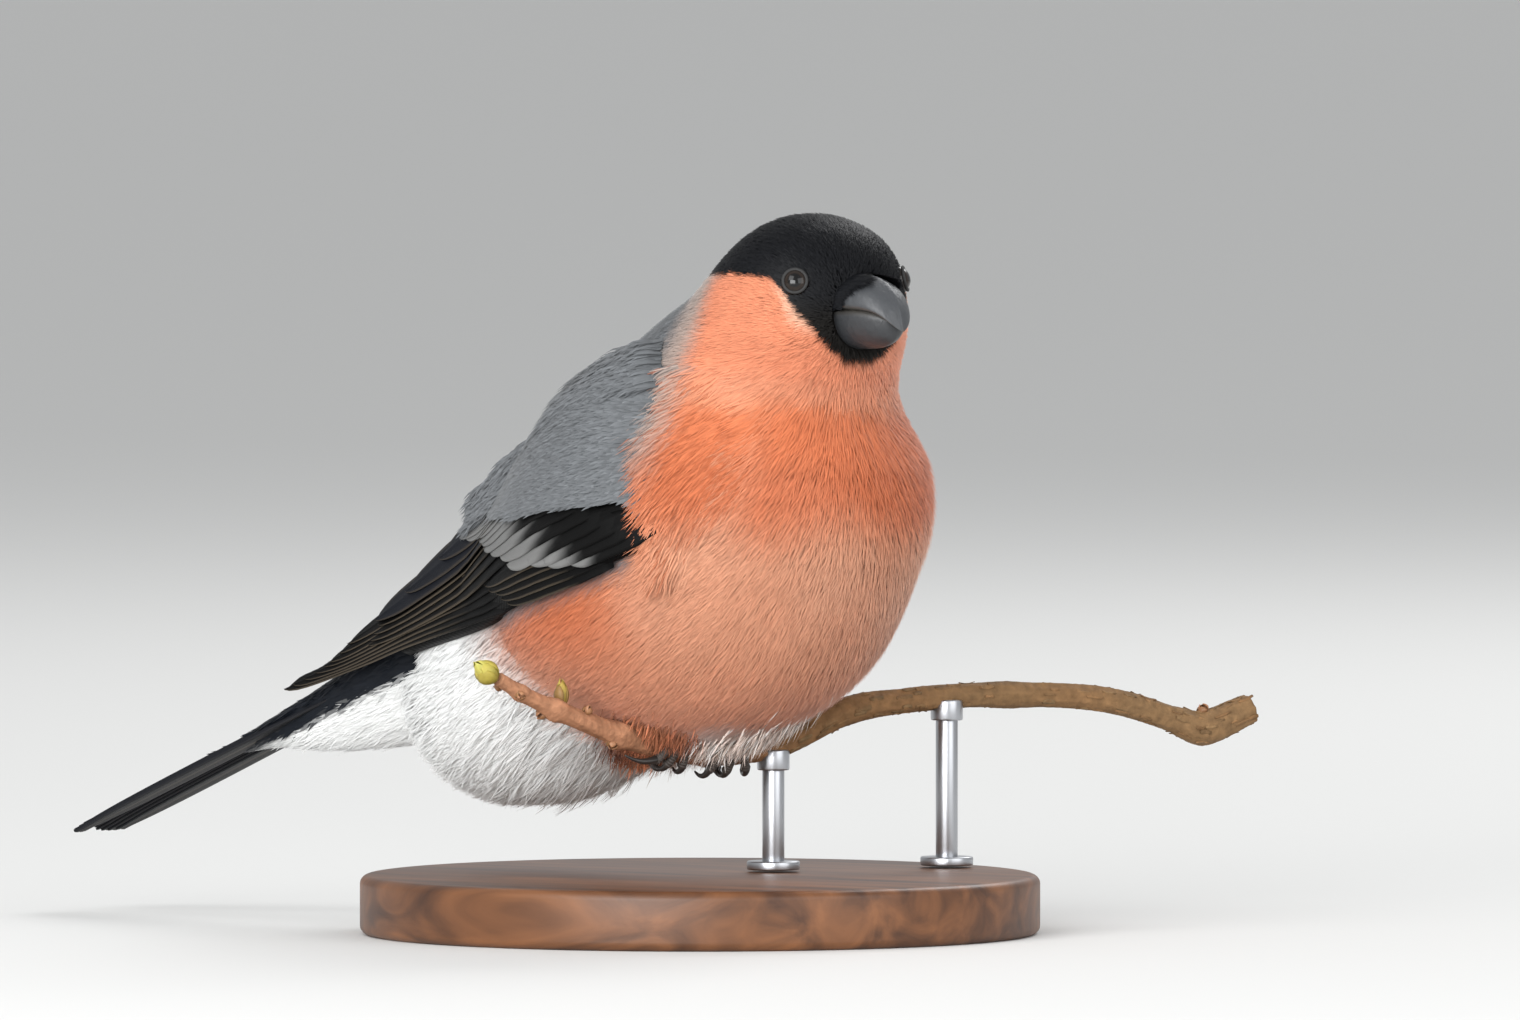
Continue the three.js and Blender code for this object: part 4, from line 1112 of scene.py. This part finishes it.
# Nasal feathers: stiff black tufts that lie forward from the forehead over the nostrils and hide the root of
# the bill, longest on its sides.
NASAL_TUFTS = 2600
SEATS = 36
turn = draw.uniform(0.0, 1.0, NASAL_TUFTS)[:, None] * np.pi
t = np.linspace(0, 0.7, SEATS)[None]
culmen = -2.9 + 7.3 * (1 - t ** 4) ** 0.6
seat = np.stack([np.broadcast_to(mix(BILL_BASE, BILL_TIP, t), (NASAL_TUFTS, SEATS)),
                 BILL_HALF_WIDTH * np.sqrt(1 - t ** 2.4) * np.cos(turn),
                 mix(-0.15 - 2.75 * t ** 7, culmen, np.sin(turn) ** 0.8)], -1) @ HEAD_AXES.T + SKULL_CENTRE
shows = (plumage_distance(seat) > -0.5).argmax(1)
each = np.arange(NASAL_TUFTS)
root = seat[each, shows]
out = unit(np.stack([0.15 + 0 * turn[:, 0], np.cos(turn[:, 0]), np.sin(turn[:, 0]) ** 0.8], -1) @ HEAD_AXES.T)
forward = unit(seat[each, np.minimum(shows + 4, SEATS - 1)] - root) + draw.normal(0, 0.1, root.shape)
forward = laid_flat(forward, out)
root = root - forward * draw.uniform(0, 1.2, (NASAL_TUFTS, 1)) + out * 0.05
aside = np.abs(np.cos(turn[:, 0]))
long = (1.4 + 3.0 * np.sin(np.pi * np.clip(1.1 - 1.1 * aside, 0, 1))) * draw.uniform(0.5, 1.15, NASAL_TUFTS)
coat("nasal_tufts", cap_gloss, root, out, forward, bake_place(root), long,
     draw.uniform(0.16, 0.26, NASAL_TUFTS), draw.uniform(0.1, 0.4, NASAL_TUFTS),
     CAP_BLACK * draw.uniform(0.8, 1.3, (NASAL_TUFTS, 1)), "black_plumage")

# Eyes: a dark glossy ball on each side with a brown iris round a black pupil, held by a thin grey ring of lid.
# The ball is set into the head until only its cap shows, and the ring lies round that cap.
EYE_RADIUS, EYE_DEPTH = 2.0, 1.2
LID_RADIUS, LID_THICKNESS = 1.58, 0.24
IRIS = ((0.0, (0.003, 0.003, 0.003, 1)), (0.62, (0.010, 0.006, 0.004, 1)), (0.86, (0.014, 0.008, 0.005, 1)),
        (0.9, (0.002, 0.002, 0.002, 1)))


def eye_centre(side):
    outward = HEAD_AXES @ np.array([0, side, 0])
    centre = on_head(7.6, side * 6, 3.4)
    while plumage_distance(centre[None])[0] < -EYE_DEPTH:
        centre = centre + outward * 0.02
    return centre


for side, word in SIDES:
    centre = eye_centre(side)
    facing = Vector(plumage_normal(centre[None])[0])
    nothing_selected()
    bpy.ops.mesh.primitive_uv_sphere_add(segments=48, ring_count=32, radius=EYE_RADIUS * MM,
                                         location=Vector(centre) * MM)
    eye = bpy.context.object
    eye.name = f"eyeball_{word}"
    eye.rotation_euler = facing.to_track_quat("Z", "Y").to_euler()
    bpy.ops.object.transform_apply(location=True, rotation=True, scale=True)
    bpy.ops.object.shade_smooth()
    wet = shader(f"wet eye {word}", roughness=0.2, specular=0.12, gloss=0.55)
    place_in = node(wet, "ShaderNodeTexCoord")
    centred = node(wet, "ShaderNodeMapping")
    centred.inputs["Location"].default_value = -Vector(centre) * MM
    along_axis = node(wet, "ShaderNodeVectorMath", operation="DOT_PRODUCT")
    along_axis.inputs[1].default_value = facing / (EYE_RADIUS * MM)
    iris = node(wet, "ShaderNodeValToRGB")
    for stop, (where, colour) in enumerate(IRIS):
        spot = iris.color_ramp.elements[stop] if stop < 2 else iris.color_ramp.elements.new(where)
        spot.position, spot.color = where, colour
    wire(wet, place_in.outputs["Object"], centred.inputs["Vector"])
    wire(wet, centred.outputs["Vector"], along_axis.inputs[0])
    wire(wet, along_axis.outputs["Value"], iris.inputs["Fac"])
    wire(wet, iris.outputs["Color"], principled(wet).inputs["Base Color"])
    eye.data.materials.append(wet)
    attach(eye, "root")
    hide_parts(f"eye_{word}")

    nothing_selected()
    ring_place = centre + np.array(facing) * (EYE_DEPTH + 0.1)
    bpy.ops.mesh.primitive_torus_add(major_radius=LID_RADIUS * MM, minor_radius=LID_THICKNESS * MM,
                                     major_segments=64, minor_segments=14, location=Vector(ring_place) * MM)
    lid = bpy.context.object
    lid.name = f"lids_{word}"
    lid.rotation_euler = facing.to_track_quat("Z", "Y").to_euler()
    lid.scale = (1.0, 1.0, 0.85)
    bpy.ops.object.transform_apply(location=True, rotation=True, scale=True)
    bpy.ops.object.shade_smooth()
    lid_skin = shader(f"lid skin {word}", roughness=0.6, specular=0.35)
    principled(lid_skin).inputs["Base Color"].default_value = (*linear(36, 36, 36), 1)
    grained(lid_skin, 3000, 0.5, 0.00005)
    lid.data.materials.append(lid_skin)
    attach(lid, "root")

# Twig: a crooked cut length with bark that is red-brown and smooth at the thin end and grey, cracked and
# flaky at the thick one. It is a tube along the perch's own route, roughened by two scales of relief.
TWIG_ROUTE = np.array([
    (-5.7, -38, 35.6), (-4.9, -32, 32.9), (-3.4, -22.5, 29.6), (-2.2, -12, 26.6), (-1.2, -3, 24.8),
    (0.4, 4, 24.2), (4.4, 12, 25.2), (9.3, 21, 29.6), (13, 28.5, 30.8), (20.5, 43, 31.4), (27.5, 57.5, 30.2),
    (31.5, 66, 27.6), (33.5, 70.5, 26.2), (37, 77, 28.6),
])
TWIG_RADII = np.array([1.25, 1.35, 1.5, 1.6, 1.65, 1.65, 1.7, 2.0, 1.75, 1.7, 1.75, 1.8, 2.5, 2.1])
BARK_RED = linear(168, 120, 90)
BARK_TAN = linear(126, 94, 62)
BARK_GREY = linear(114, 92, 64)
ACROSS_TWIG = (0.123, 0.234, 0.964)
TWIG_ROWS, TWIG_SIDES, TWIG_LENGTH = 420, 36, 130
BARK_INSET = 0.08
KNOTS = ((7, 0.22), (15, 0.42), (27, 0.45), (47, 0.22), (90, 0.2))


def twig_radius(t):
    t = np.asarray(t)
    even = np.interp(t * (len(TWIG_RADII) - 1), np.arange(len(TWIG_RADII)), TWIG_RADII)
    return even * mix(0.8, 1.0, ease(0.03, 0.22, t))


def frames_along(path):
    along = unit(np.gradient(path, axis=0))
    across = unit(np.cross(along, ACROSS_TWIG))
    return across, np.cross(across, along)


def tube(name, path, radius, sides, material, colours, uv_name=None):
    """A closed round tube: path is rows of places, radius is rows, or rows by sides."""
    rows = len(path)
    across, upward = frames_along(path)
    angle = 2 * np.pi * np.arange(sides) / sides
    reach = np.broadcast_to(np.reshape(radius, (rows, -1)), (rows, sides))
    rings = path[:, None] + reach[..., None] * (
        across[:, None] * np.cos(angle)[None, :, None] + upward[:, None] * np.sin(angle)[None, :, None])
    colours = np.concatenate([np.repeat(colours, sides, 0), colours[[0, -1]]])
    uvs = None
    if uv_name:
        u, v = np.meshgrid(angle / (2 * np.pi), np.linspace(0, 1, rows))
        uvs = {uv_name: np.concatenate([np.stack([u, v], -1).reshape(-1, 2), [[0, 0], [0, 1]]])}
    piece = mesh_of(name, *closed_loft(rings, path[[0, -1]]), material, uvs, colours)
    in_edit_mode(piece, bpy.ops.mesh.normals_make_consistent, inside=False)
    return piece


bark = shader("bark", roughness=0.8, specular=0.25)
attribute_colour(bark, "coat_colour", 0.5, 800)
grained(bark, 1300, 0.8, 0.0003)
twig_t = np.linspace(0, 1, TWIG_ROWS)
twig_path = along_route(TWIG_ROUTE, twig_t)
turn, run = np.meshgrid(2 * np.pi * np.arange(TWIG_SIDES) / TWIG_SIDES, twig_t * TWIG_LENGTH)
ridges = 0.06 * np.sin(7 * turn + 1.5 * np.sin(run * 0.31)) + 0.05 * np.sin(11 * turn - 0.8 * np.sin(run * 0.53))
knots = sum(size * np.exp(-((run - where) / 1.6) ** 2) for where, size in KNOTS)
rough = ridges * (0.4 + 0.9 * twig_t[:, None]) + knots * (1 + 0.3 * np.sin(3 * turn))
rough = rough + draw.normal(0, 0.018, turn.shape)
shade = blended(in_one(BARK_RED, TWIG_ROWS), BARK_TAN, ease(0.3, 0.5, twig_t))
shade = blended(shade, BARK_GREY, 0.5 * ease(0.55, 0.8, twig_t + 0.1 * np.sin(twig_t * 40)))
reach = twig_radius(twig_t)[:, None] - BARK_INSET + rough
twig = tube("perch_twig", twig_path, reach, TWIG_SIDES, bark, shade)
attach(twig, "root")
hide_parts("twig")

# Bark flakes: thin curled scraps that lift from the thick end of the twig, one small bent sheet each.
FLAKES, FLAKE_THICKNESS = 170, 0.09
flake_t = draw.uniform(0.46, 0.995, FLAKES)
flake_centre = along_route(TWIG_ROUTE, flake_t)
flake_along = along_route(TWIG_ROUTE, np.minimum(flake_t + 0.004, 1)) - along_route(TWIG_ROUTE, flake_t - 0.004)
flake_along = unit(flake_along)
flake_across = unit(np.cross(flake_along, ACROSS_TWIG))
flake_up = np.cross(flake_across, flake_along)
turn = draw.uniform(0, 2 * np.pi, FLAKES)[:, None]
outward = flake_across * np.cos(turn) + flake_up * np.sin(turn)
sideways = flake_up * np.cos(turn) - flake_across * np.sin(turn)
grid_t, grid_u = np.meshgrid(np.linspace(-1, 1, 4), np.linspace(-1, 1, 3), indexing="ij")
long_half = draw.uniform(0.4, 1.3, FLAKES)[:, None, None]
wide_half = draw.uniform(0.15, 0.4, FLAKES)[:, None, None]
round_here = twig_radius(flake_t)[:, None, None]
reach = round_here - 0.05 + 0.2 * grid_t ** 2 * draw.uniform(0, 1, (FLAKES, 1, 1))
reach = reach - grid_u ** 2 * wide_half ** 2 / (2 * round_here)
flake_tops = (flake_centre[:, None, None] + flake_along[:, None, None] * (grid_t * long_half)[..., None]
              + sideways[:, None, None] * (grid_u * wide_half * (1 - 0.35 * grid_t ** 2))[..., None]
              + outward[:, None, None] * reach[..., None])
flake_bottoms = flake_tops - outward[:, None, None] * FLAKE_THICKNESS
flake_tint = blended(in_one(BARK_TAN, FLAKES), BARK_GREY, draw.random(FLAKES))
flake_tint = flake_tint * draw.uniform(0.8, 1.25, (FLAKES, 1))
flake_tint = np.broadcast_to(flake_tint[:, None, None], flake_tops.shape)
closed_blades("bark_flakes", bark, flake_tops, flake_bottoms, flake_tint, 24)

# Buds: an opening one at the thin end, of overlapping pointed scales round a green heart, and a small closed
# one on the twig's upper side.
BUD_YELLOW = linear(166, 148, 58)
BUD_GREEN = linear(168, 165, 84)
BUD_BROWN = linear(120, 84, 50)
SCALE_TURN, SCALE_THICKNESS = 2.4, 0.14


def bud(name, replaced, foot, tip, width, scales, open_by, tints):
    """Overlapping scales from foot to tip; it stands for the solid named by replaced, where there is one."""
    foot, tip = np.array(foot), np.array(tip)
    axis, reach = unit(tip - foot), np.linalg.norm(tip - foot)
    first = unit(np.cross(axis, [0.3, 0.2, 0.9]))
    second = np.cross(axis, first)
    t, u = np.meshgrid(np.linspace(0, 1, 9), np.linspace(-1, 1, 7), indexing="ij")
    tops, paints = [], []
    for k in range(scales):
        angle = SCALE_TURN * k
        ring = k / scales
        lean = open_by * (1 - ring)
        out = first * math.cos(angle) + second * math.sin(angle)
        beside = np.cross(axis, out)
        long = reach * mix(0.72, 1.0, ring)
        swell = width * np.sin(np.pi * np.minimum(t * 0.86 + 0.1, 1)) ** 0.8 * mix(1.0, 0.55, ring)
        swell = swell + lean * t ** 2
        curve = u * 0.95 * (1 - 0.93 * t ** 7)
        tops.append(foot + axis * (long * t)[..., None] + out * (swell * np.cos(curve))[..., None]
                    + beside * (swell * np.sin(curve))[..., None])
        tint = mix(tints[0], tints[1], ring) * draw.uniform(0.85, 1.15)
        paints.append(tint * mix(0.75, 1.1, t)[..., None])
    tops = np.array(tops)[:, :, ::-1]
    bottoms = tops + unit(foot + axis * (reach * 0.5) - tops) * SCALE_THICKNESS
    piece = closed_blades(name, bud_skin, tops, bottoms, np.array(paints), 6)
    if replaced:
        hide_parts(replaced)


bud_skin = shader("bud scales", roughness=0.5, specular=0.4)
attribute_colour(bud_skin, "coat_colour", 0.2, 1200)
grained(bud_skin, 1600, 0.4, 0.0001)
bud("opening_bud", "bud_end", (-5.8, -38.6, 35.6), (-6.4, -42.6, 38.2), 1.75, 10, 0.25, (BUD_YELLOW, BUD_GREEN))
bud("closed_bud", "bud_side", (-4.0, -26.0, 31.4), (-3.9, -26.2, 35.6), 1.1, 7, 0.35, (BUD_BROWN, BUD_YELLOW))

# Leaf scars, as small closed buds: place along the twig, angle round it, width and length.
SCARS = ((0.02, 200, 0.95, 1.3), (0.05, 330, 0.8, 1.1), (0.105, 250, 0.85, 1.4), (0.155, 60, 0.75, 1.5),
         (0.2, 290, 0.9, 1.4), (0.462, 70, 1.0, 1.6), (0.6, 200, 0.8, 1.2), (0.93, 80, 1.0, 1.4))
for number, (t, angle, width, reach) in enumerate(SCARS):
    middle = along_route(TWIG_ROUTE, np.array([t]))[0]
    along = unit(along_route(TWIG_ROUTE, np.array([t + 0.002]))[0] - middle)
    first = unit(np.cross(along, ACROSS_TWIG))
    out = first * math.cos(math.radians(angle)) + np.cross(first, along) * math.sin(math.radians(angle))
    foot = middle + out * (float(twig_radius(t)) - 0.35)
    bud(f"bud_scar_{number}", None, foot, foot + out * reach - along * 0.6, width, 4, 0.2, (BUD_BROWN, BARK_RED))

# Feet: three toes over the front of the twig and one from behind on each foot, of dark scaly skin with
# swollen pads, and curved horn claws. The right foot's inner claw reaches out along the twig.
FOOT_AT = {RIGHT: 0.276, LEFT: 0.385}
TOE_RADIUS = 0.72
TOES = {
    RIGHT: ((-2.4, 95, -58, 30, -4.4), (0.1, 88, -62, 60, 0), (2.8, 95, -52, 62, 0), (0.4, 92, 238, 66, 0)),
    LEFT: ((-3, 95, -52, 62, 0), (0.1, 88, -62, 60, 0), (3, 95, -52, 62, 0), (0.4, 92, 238, 66, 0)),
}
FOOT_DARK = linear(70, 64, 60)
CLAW_DARK = linear(44, 40, 38)


def round_twig(side, shift, angle, distance):
    t = FOOT_AT[side]
    middle = along_route(TWIG_ROUTE, np.array([t]))[0]
    before, after = along_route(TWIG_ROUTE, np.array([t - 0.0005, t + 0.0005]))
    along = unit(after - before)
    up = unit(np.array([0, 0, 1.0]) - along * along[2])
    front = np.cross(along, up)
    shift, angle, distance = np.broadcast_arrays(shift, angle, distance)
    return (middle + along * shift[..., None] + front * (distance * np.cos(angle))[..., None]
            + up * (distance * np.sin(angle))[..., None])


toe_skin = shader("scaly toe skin", roughness=0.55, specular=0.4)
attribute_colour(toe_skin, "coat_colour", 0.25, 1400)
scute_place = node(toe_skin, "ShaderNodeUVMap", uv_map="Toe")
scute_axes = node(toe_skin, "ShaderNodeSeparateXYZ")
scutes = node(toe_skin, "ShaderNodeMath", operation="MULTIPLY")
scutes.inputs[1].default_value = 120
folds = node(toe_skin, "ShaderNodeMath", operation="SINE")
wire(toe_skin, scute_place.outputs["UV"], scute_axes.inputs["Vector"])
wire(toe_skin, scute_axes.outputs["Y"], scutes.inputs[0])
wire(toe_skin, scutes.outputs[0], folds.inputs[0])
bump_from(toe_skin, folds.outputs[0], 0.6, 0.00008)
claw_horn = shader("claw horn", roughness=0.32, specular=0.5)
attribute_colour(claw_horn, "coat_colour", 0.1, 900)

for side, word in SIDES:
    grip = float(twig_radius(FOOT_AT[side])) + 0.3 + TOE_RADIUS - 0.1
    digits, claws = [], []
    for k, (spread, start, stop, sweep, shift) in enumerate(TOES[side]):
        t = np.linspace(0, 1, 40)
        path = round_twig(side, spread * t, np.radians(mix(start, stop, t)), np.full(40, grip))
        pads = TOE_RADIUS * (1.08 - 0.22 * t) * (1 + 0.11 * np.cos(2 * np.pi * 3 * t))
        digits.append(tube(f"toe_{word}_{k}", path, pads, 20, toe_skin, np.tile(FOOT_DARK, (40, 1)), "Toe"))
        t = np.linspace(0, 1, 24)
        turn = np.sign(stop - start)
        path = round_twig(side, spread * (1 + 0.25 * t) + shift * t, np.radians(stop + turn * (sweep * t - 8)),
                          grip + 0.5 * np.sin(np.pi * t) - 0.25 * t)
        taper = 0.55 * (1 - 0.9 * t) ** 0.8 + 0.03
        claws.append(tube(f"claw_{word}_{k}", path, taper, 14, claw_horn, np.tile(CLAW_DARK, (24, 1))))
    nothing_selected()
    ankle = round_twig(side, 0.0, np.radians(100), float(twig_radius(FOOT_AT[side])) + 0.3 + 1.3)
    shank = np.array([ankle + np.array([-0.2 - 0.6 * k, 0, 1.6 * k]) for k in np.linspace(0, 1.5, 16)])
    digits.append(tube(f"shank_{word}", shank, np.full(16, 1.0), 20, toe_skin, np.tile(FOOT_DARK, (16, 1)), "Toe"))
    for group, name in ((digits, f"toes_{word}"), (claws, f"claws_{word}")):
        nothing_selected()
        for piece in group:
            piece.select_set(True)
        bpy.context.view_layer.objects.active = group[0]
        bpy.ops.object.join()
        group[0].name = name
        bpy.ops.object.shade_smooth()
        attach(group[0], "root")
    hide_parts(f"foot_{word}")

# Shin tufts: strands that hang from the belly over each foot, brown-orange on the right one and white with
# dark streaks on the left one.
SHIN_TUFTS = 4600


def shin_tufts(side, word, spread, offset, long, sweep, tints):
    ankle = round_twig(side, 0.0, np.radians(100), 3.2) + np.array(offset)
    root = ankle + draw.normal(0, 1, (SHIN_TUFTS, 3)) * np.array([*spread, 0])
    root[:, 2] = 22
    for _ in range(14):
        root[:, 2] += 0.7 * plumage_distance(root)
    root[:, 2] += 0.5
    spray = draw.normal(0, 0.6, root.shape)
    out = unit((root - ankle + spray) * [1, 1, 0] + np.array(TOWARDS_CAMERA) * 1.5)
    flow = unit(-0.2 * out + [sweep, 0, -1] + draw.normal(0, 0.22, root.shape))
    normals = unit(out - flow * (flow * out).sum(1, keepdims=True))
    pick = draw.random(SHIN_TUFTS)[:, None]
    tone = np.where(pick < 0.12, tints[0], np.where(pick < 0.7, tints[1], tints[2]))
    tone = tone * draw.uniform(0.85, 1.15, pick.shape)
    coat(f"shin_tufts_{word}", soft_coat, root, normals, flow, bake_place(root), draw.uniform(*long, SHIN_TUFTS),
         draw.uniform(0.12, 0.22, SHIN_TUFTS), draw.uniform(0.1, 0.7, SHIN_TUFTS), tone, "orange_plumage")


shin_tufts(RIGHT, "right", (2.6, 2.2), (-0.2, -2.6, 0), (1.8, 3.6), -0.4,
           (linear(120, 74, 50), SHIN_BROWN, linear(200, 124, 90)))
shin_tufts(LEFT, "left", (4.6, 3.2), (3.6, -0.8, 0), (2.4, 5.0), -0.9,
           (linear(120, 108, 100), linear(222, 206, 196), linear(234, 230, 226)))

# Stand: a turned disc of oiled dark wood and two brushed steel rods, each with a small foot and a collar
# under the twig. They carry the perch that the tree carries in life.
WOOD_DARK, WOOD_LIGHT, WOOD_STOPS = linear(62, 36, 20), linear(122, 78, 46), (0.32, 0.7)
base_low, base_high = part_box("stand_base")
nothing_selected()
bpy.ops.mesh.primitive_cylinder_add(vertices=160, radius=(base_high.x - base_low.x) / 2,
                                    depth=base_high.z - base_low.z, location=(base_low + base_high) / 2)
stand = bpy.context.object
stand.name = "wooden_base"
bpy.ops.object.transform_apply(location=True, rotation=True, scale=True)
finish_modifier(stand, "BEVEL", width=1.2 * MM, segments=6, limit_method="ANGLE")
bpy.ops.object.shade_smooth_by_angle(angle=math.radians(35))
wood = shader("oiled wood", roughness=0.42, specular=0.45)
wood_place = node(wood, "ShaderNodeTexCoord")
wood_spread = node(wood, "ShaderNodeMapping")
wood_spread.inputs["Scale"].default_value = (12, 90, 90)
rings = node(wood, "ShaderNodeTexNoise")
rings.inputs["Scale"].default_value = 1.6
rings.inputs["Detail"].default_value = 8
rings.inputs["Distortion"].default_value = 1.2
wood_tone = node(wood, "ShaderNodeValToRGB")
for stop, where, colour in zip(wood_tone.color_ramp.elements, WOOD_STOPS, (WOOD_DARK, WOOD_LIGHT)):
    stop.position, stop.color = where, (*colour, 1)
wire(wood, wood_place.outputs["Object"], wood_spread.inputs["Vector"])
wire(wood, wood_spread.outputs["Vector"], rings.inputs["Vector"])
wire(wood, rings.outputs["Fac"], wood_tone.inputs["Fac"])
wire(wood, wood_tone.outputs["Color"], principled(wood).inputs["Base Color"])
bump_from(wood, rings.outputs["Fac"], 0.25, 0.0002)
stand.data.materials.append(wood)
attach(stand, "root")
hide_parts("stand_base")

steel = shader("brushed steel", roughness=0.32, specular=0.5, metal=1.0)
principled(steel).inputs["Base Color"].default_value = (*linear(176, 178, 182), 1)
grained(steel, 3000, 0.12, 0.00005, (1, 1, 0.02))


def steel_part(x, y, low, high, radius):
    nothing_selected()
    bpy.ops.mesh.primitive_cylinder_add(vertices=48, radius=radius * MM, depth=(high - low) * MM,
                                        location=(x, y, (low + high) / 2 * MM))
    part = bpy.context.object
    bpy.ops.object.transform_apply(location=True, rotation=True, scale=True)
    finish_modifier(part, "BEVEL", width=0.22 * MM, segments=3, limit_method="ANGLE")
    bpy.ops.object.shade_smooth_by_angle(angle=math.radians(40))
    return part


for name in ("stand_rod_near", "stand_rod_far"):
    low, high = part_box(name)
    x, y = (low.x + high.x) / 2, (low.y + high.y) / 2
    bottom, top = low.z / MM, high.z / MM
    parts = [steel_part(x, y, bottom, bottom + 1.2, 3.6), steel_part(x, y, bottom + 1, top - 2.4, 1.5),
             steel_part(x, y, top - 2.8, top, 2.2)]
    nothing_selected()
    for part in parts:
        part.select_set(True)
    bpy.context.view_layer.objects.active = parts[0]
    bpy.ops.object.join()
    rod = bpy.context.object
    rod.name = name.replace("stand_", "steel_")
    rod.data.materials.append(steel)
    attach(rod, "root")
    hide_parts(name)
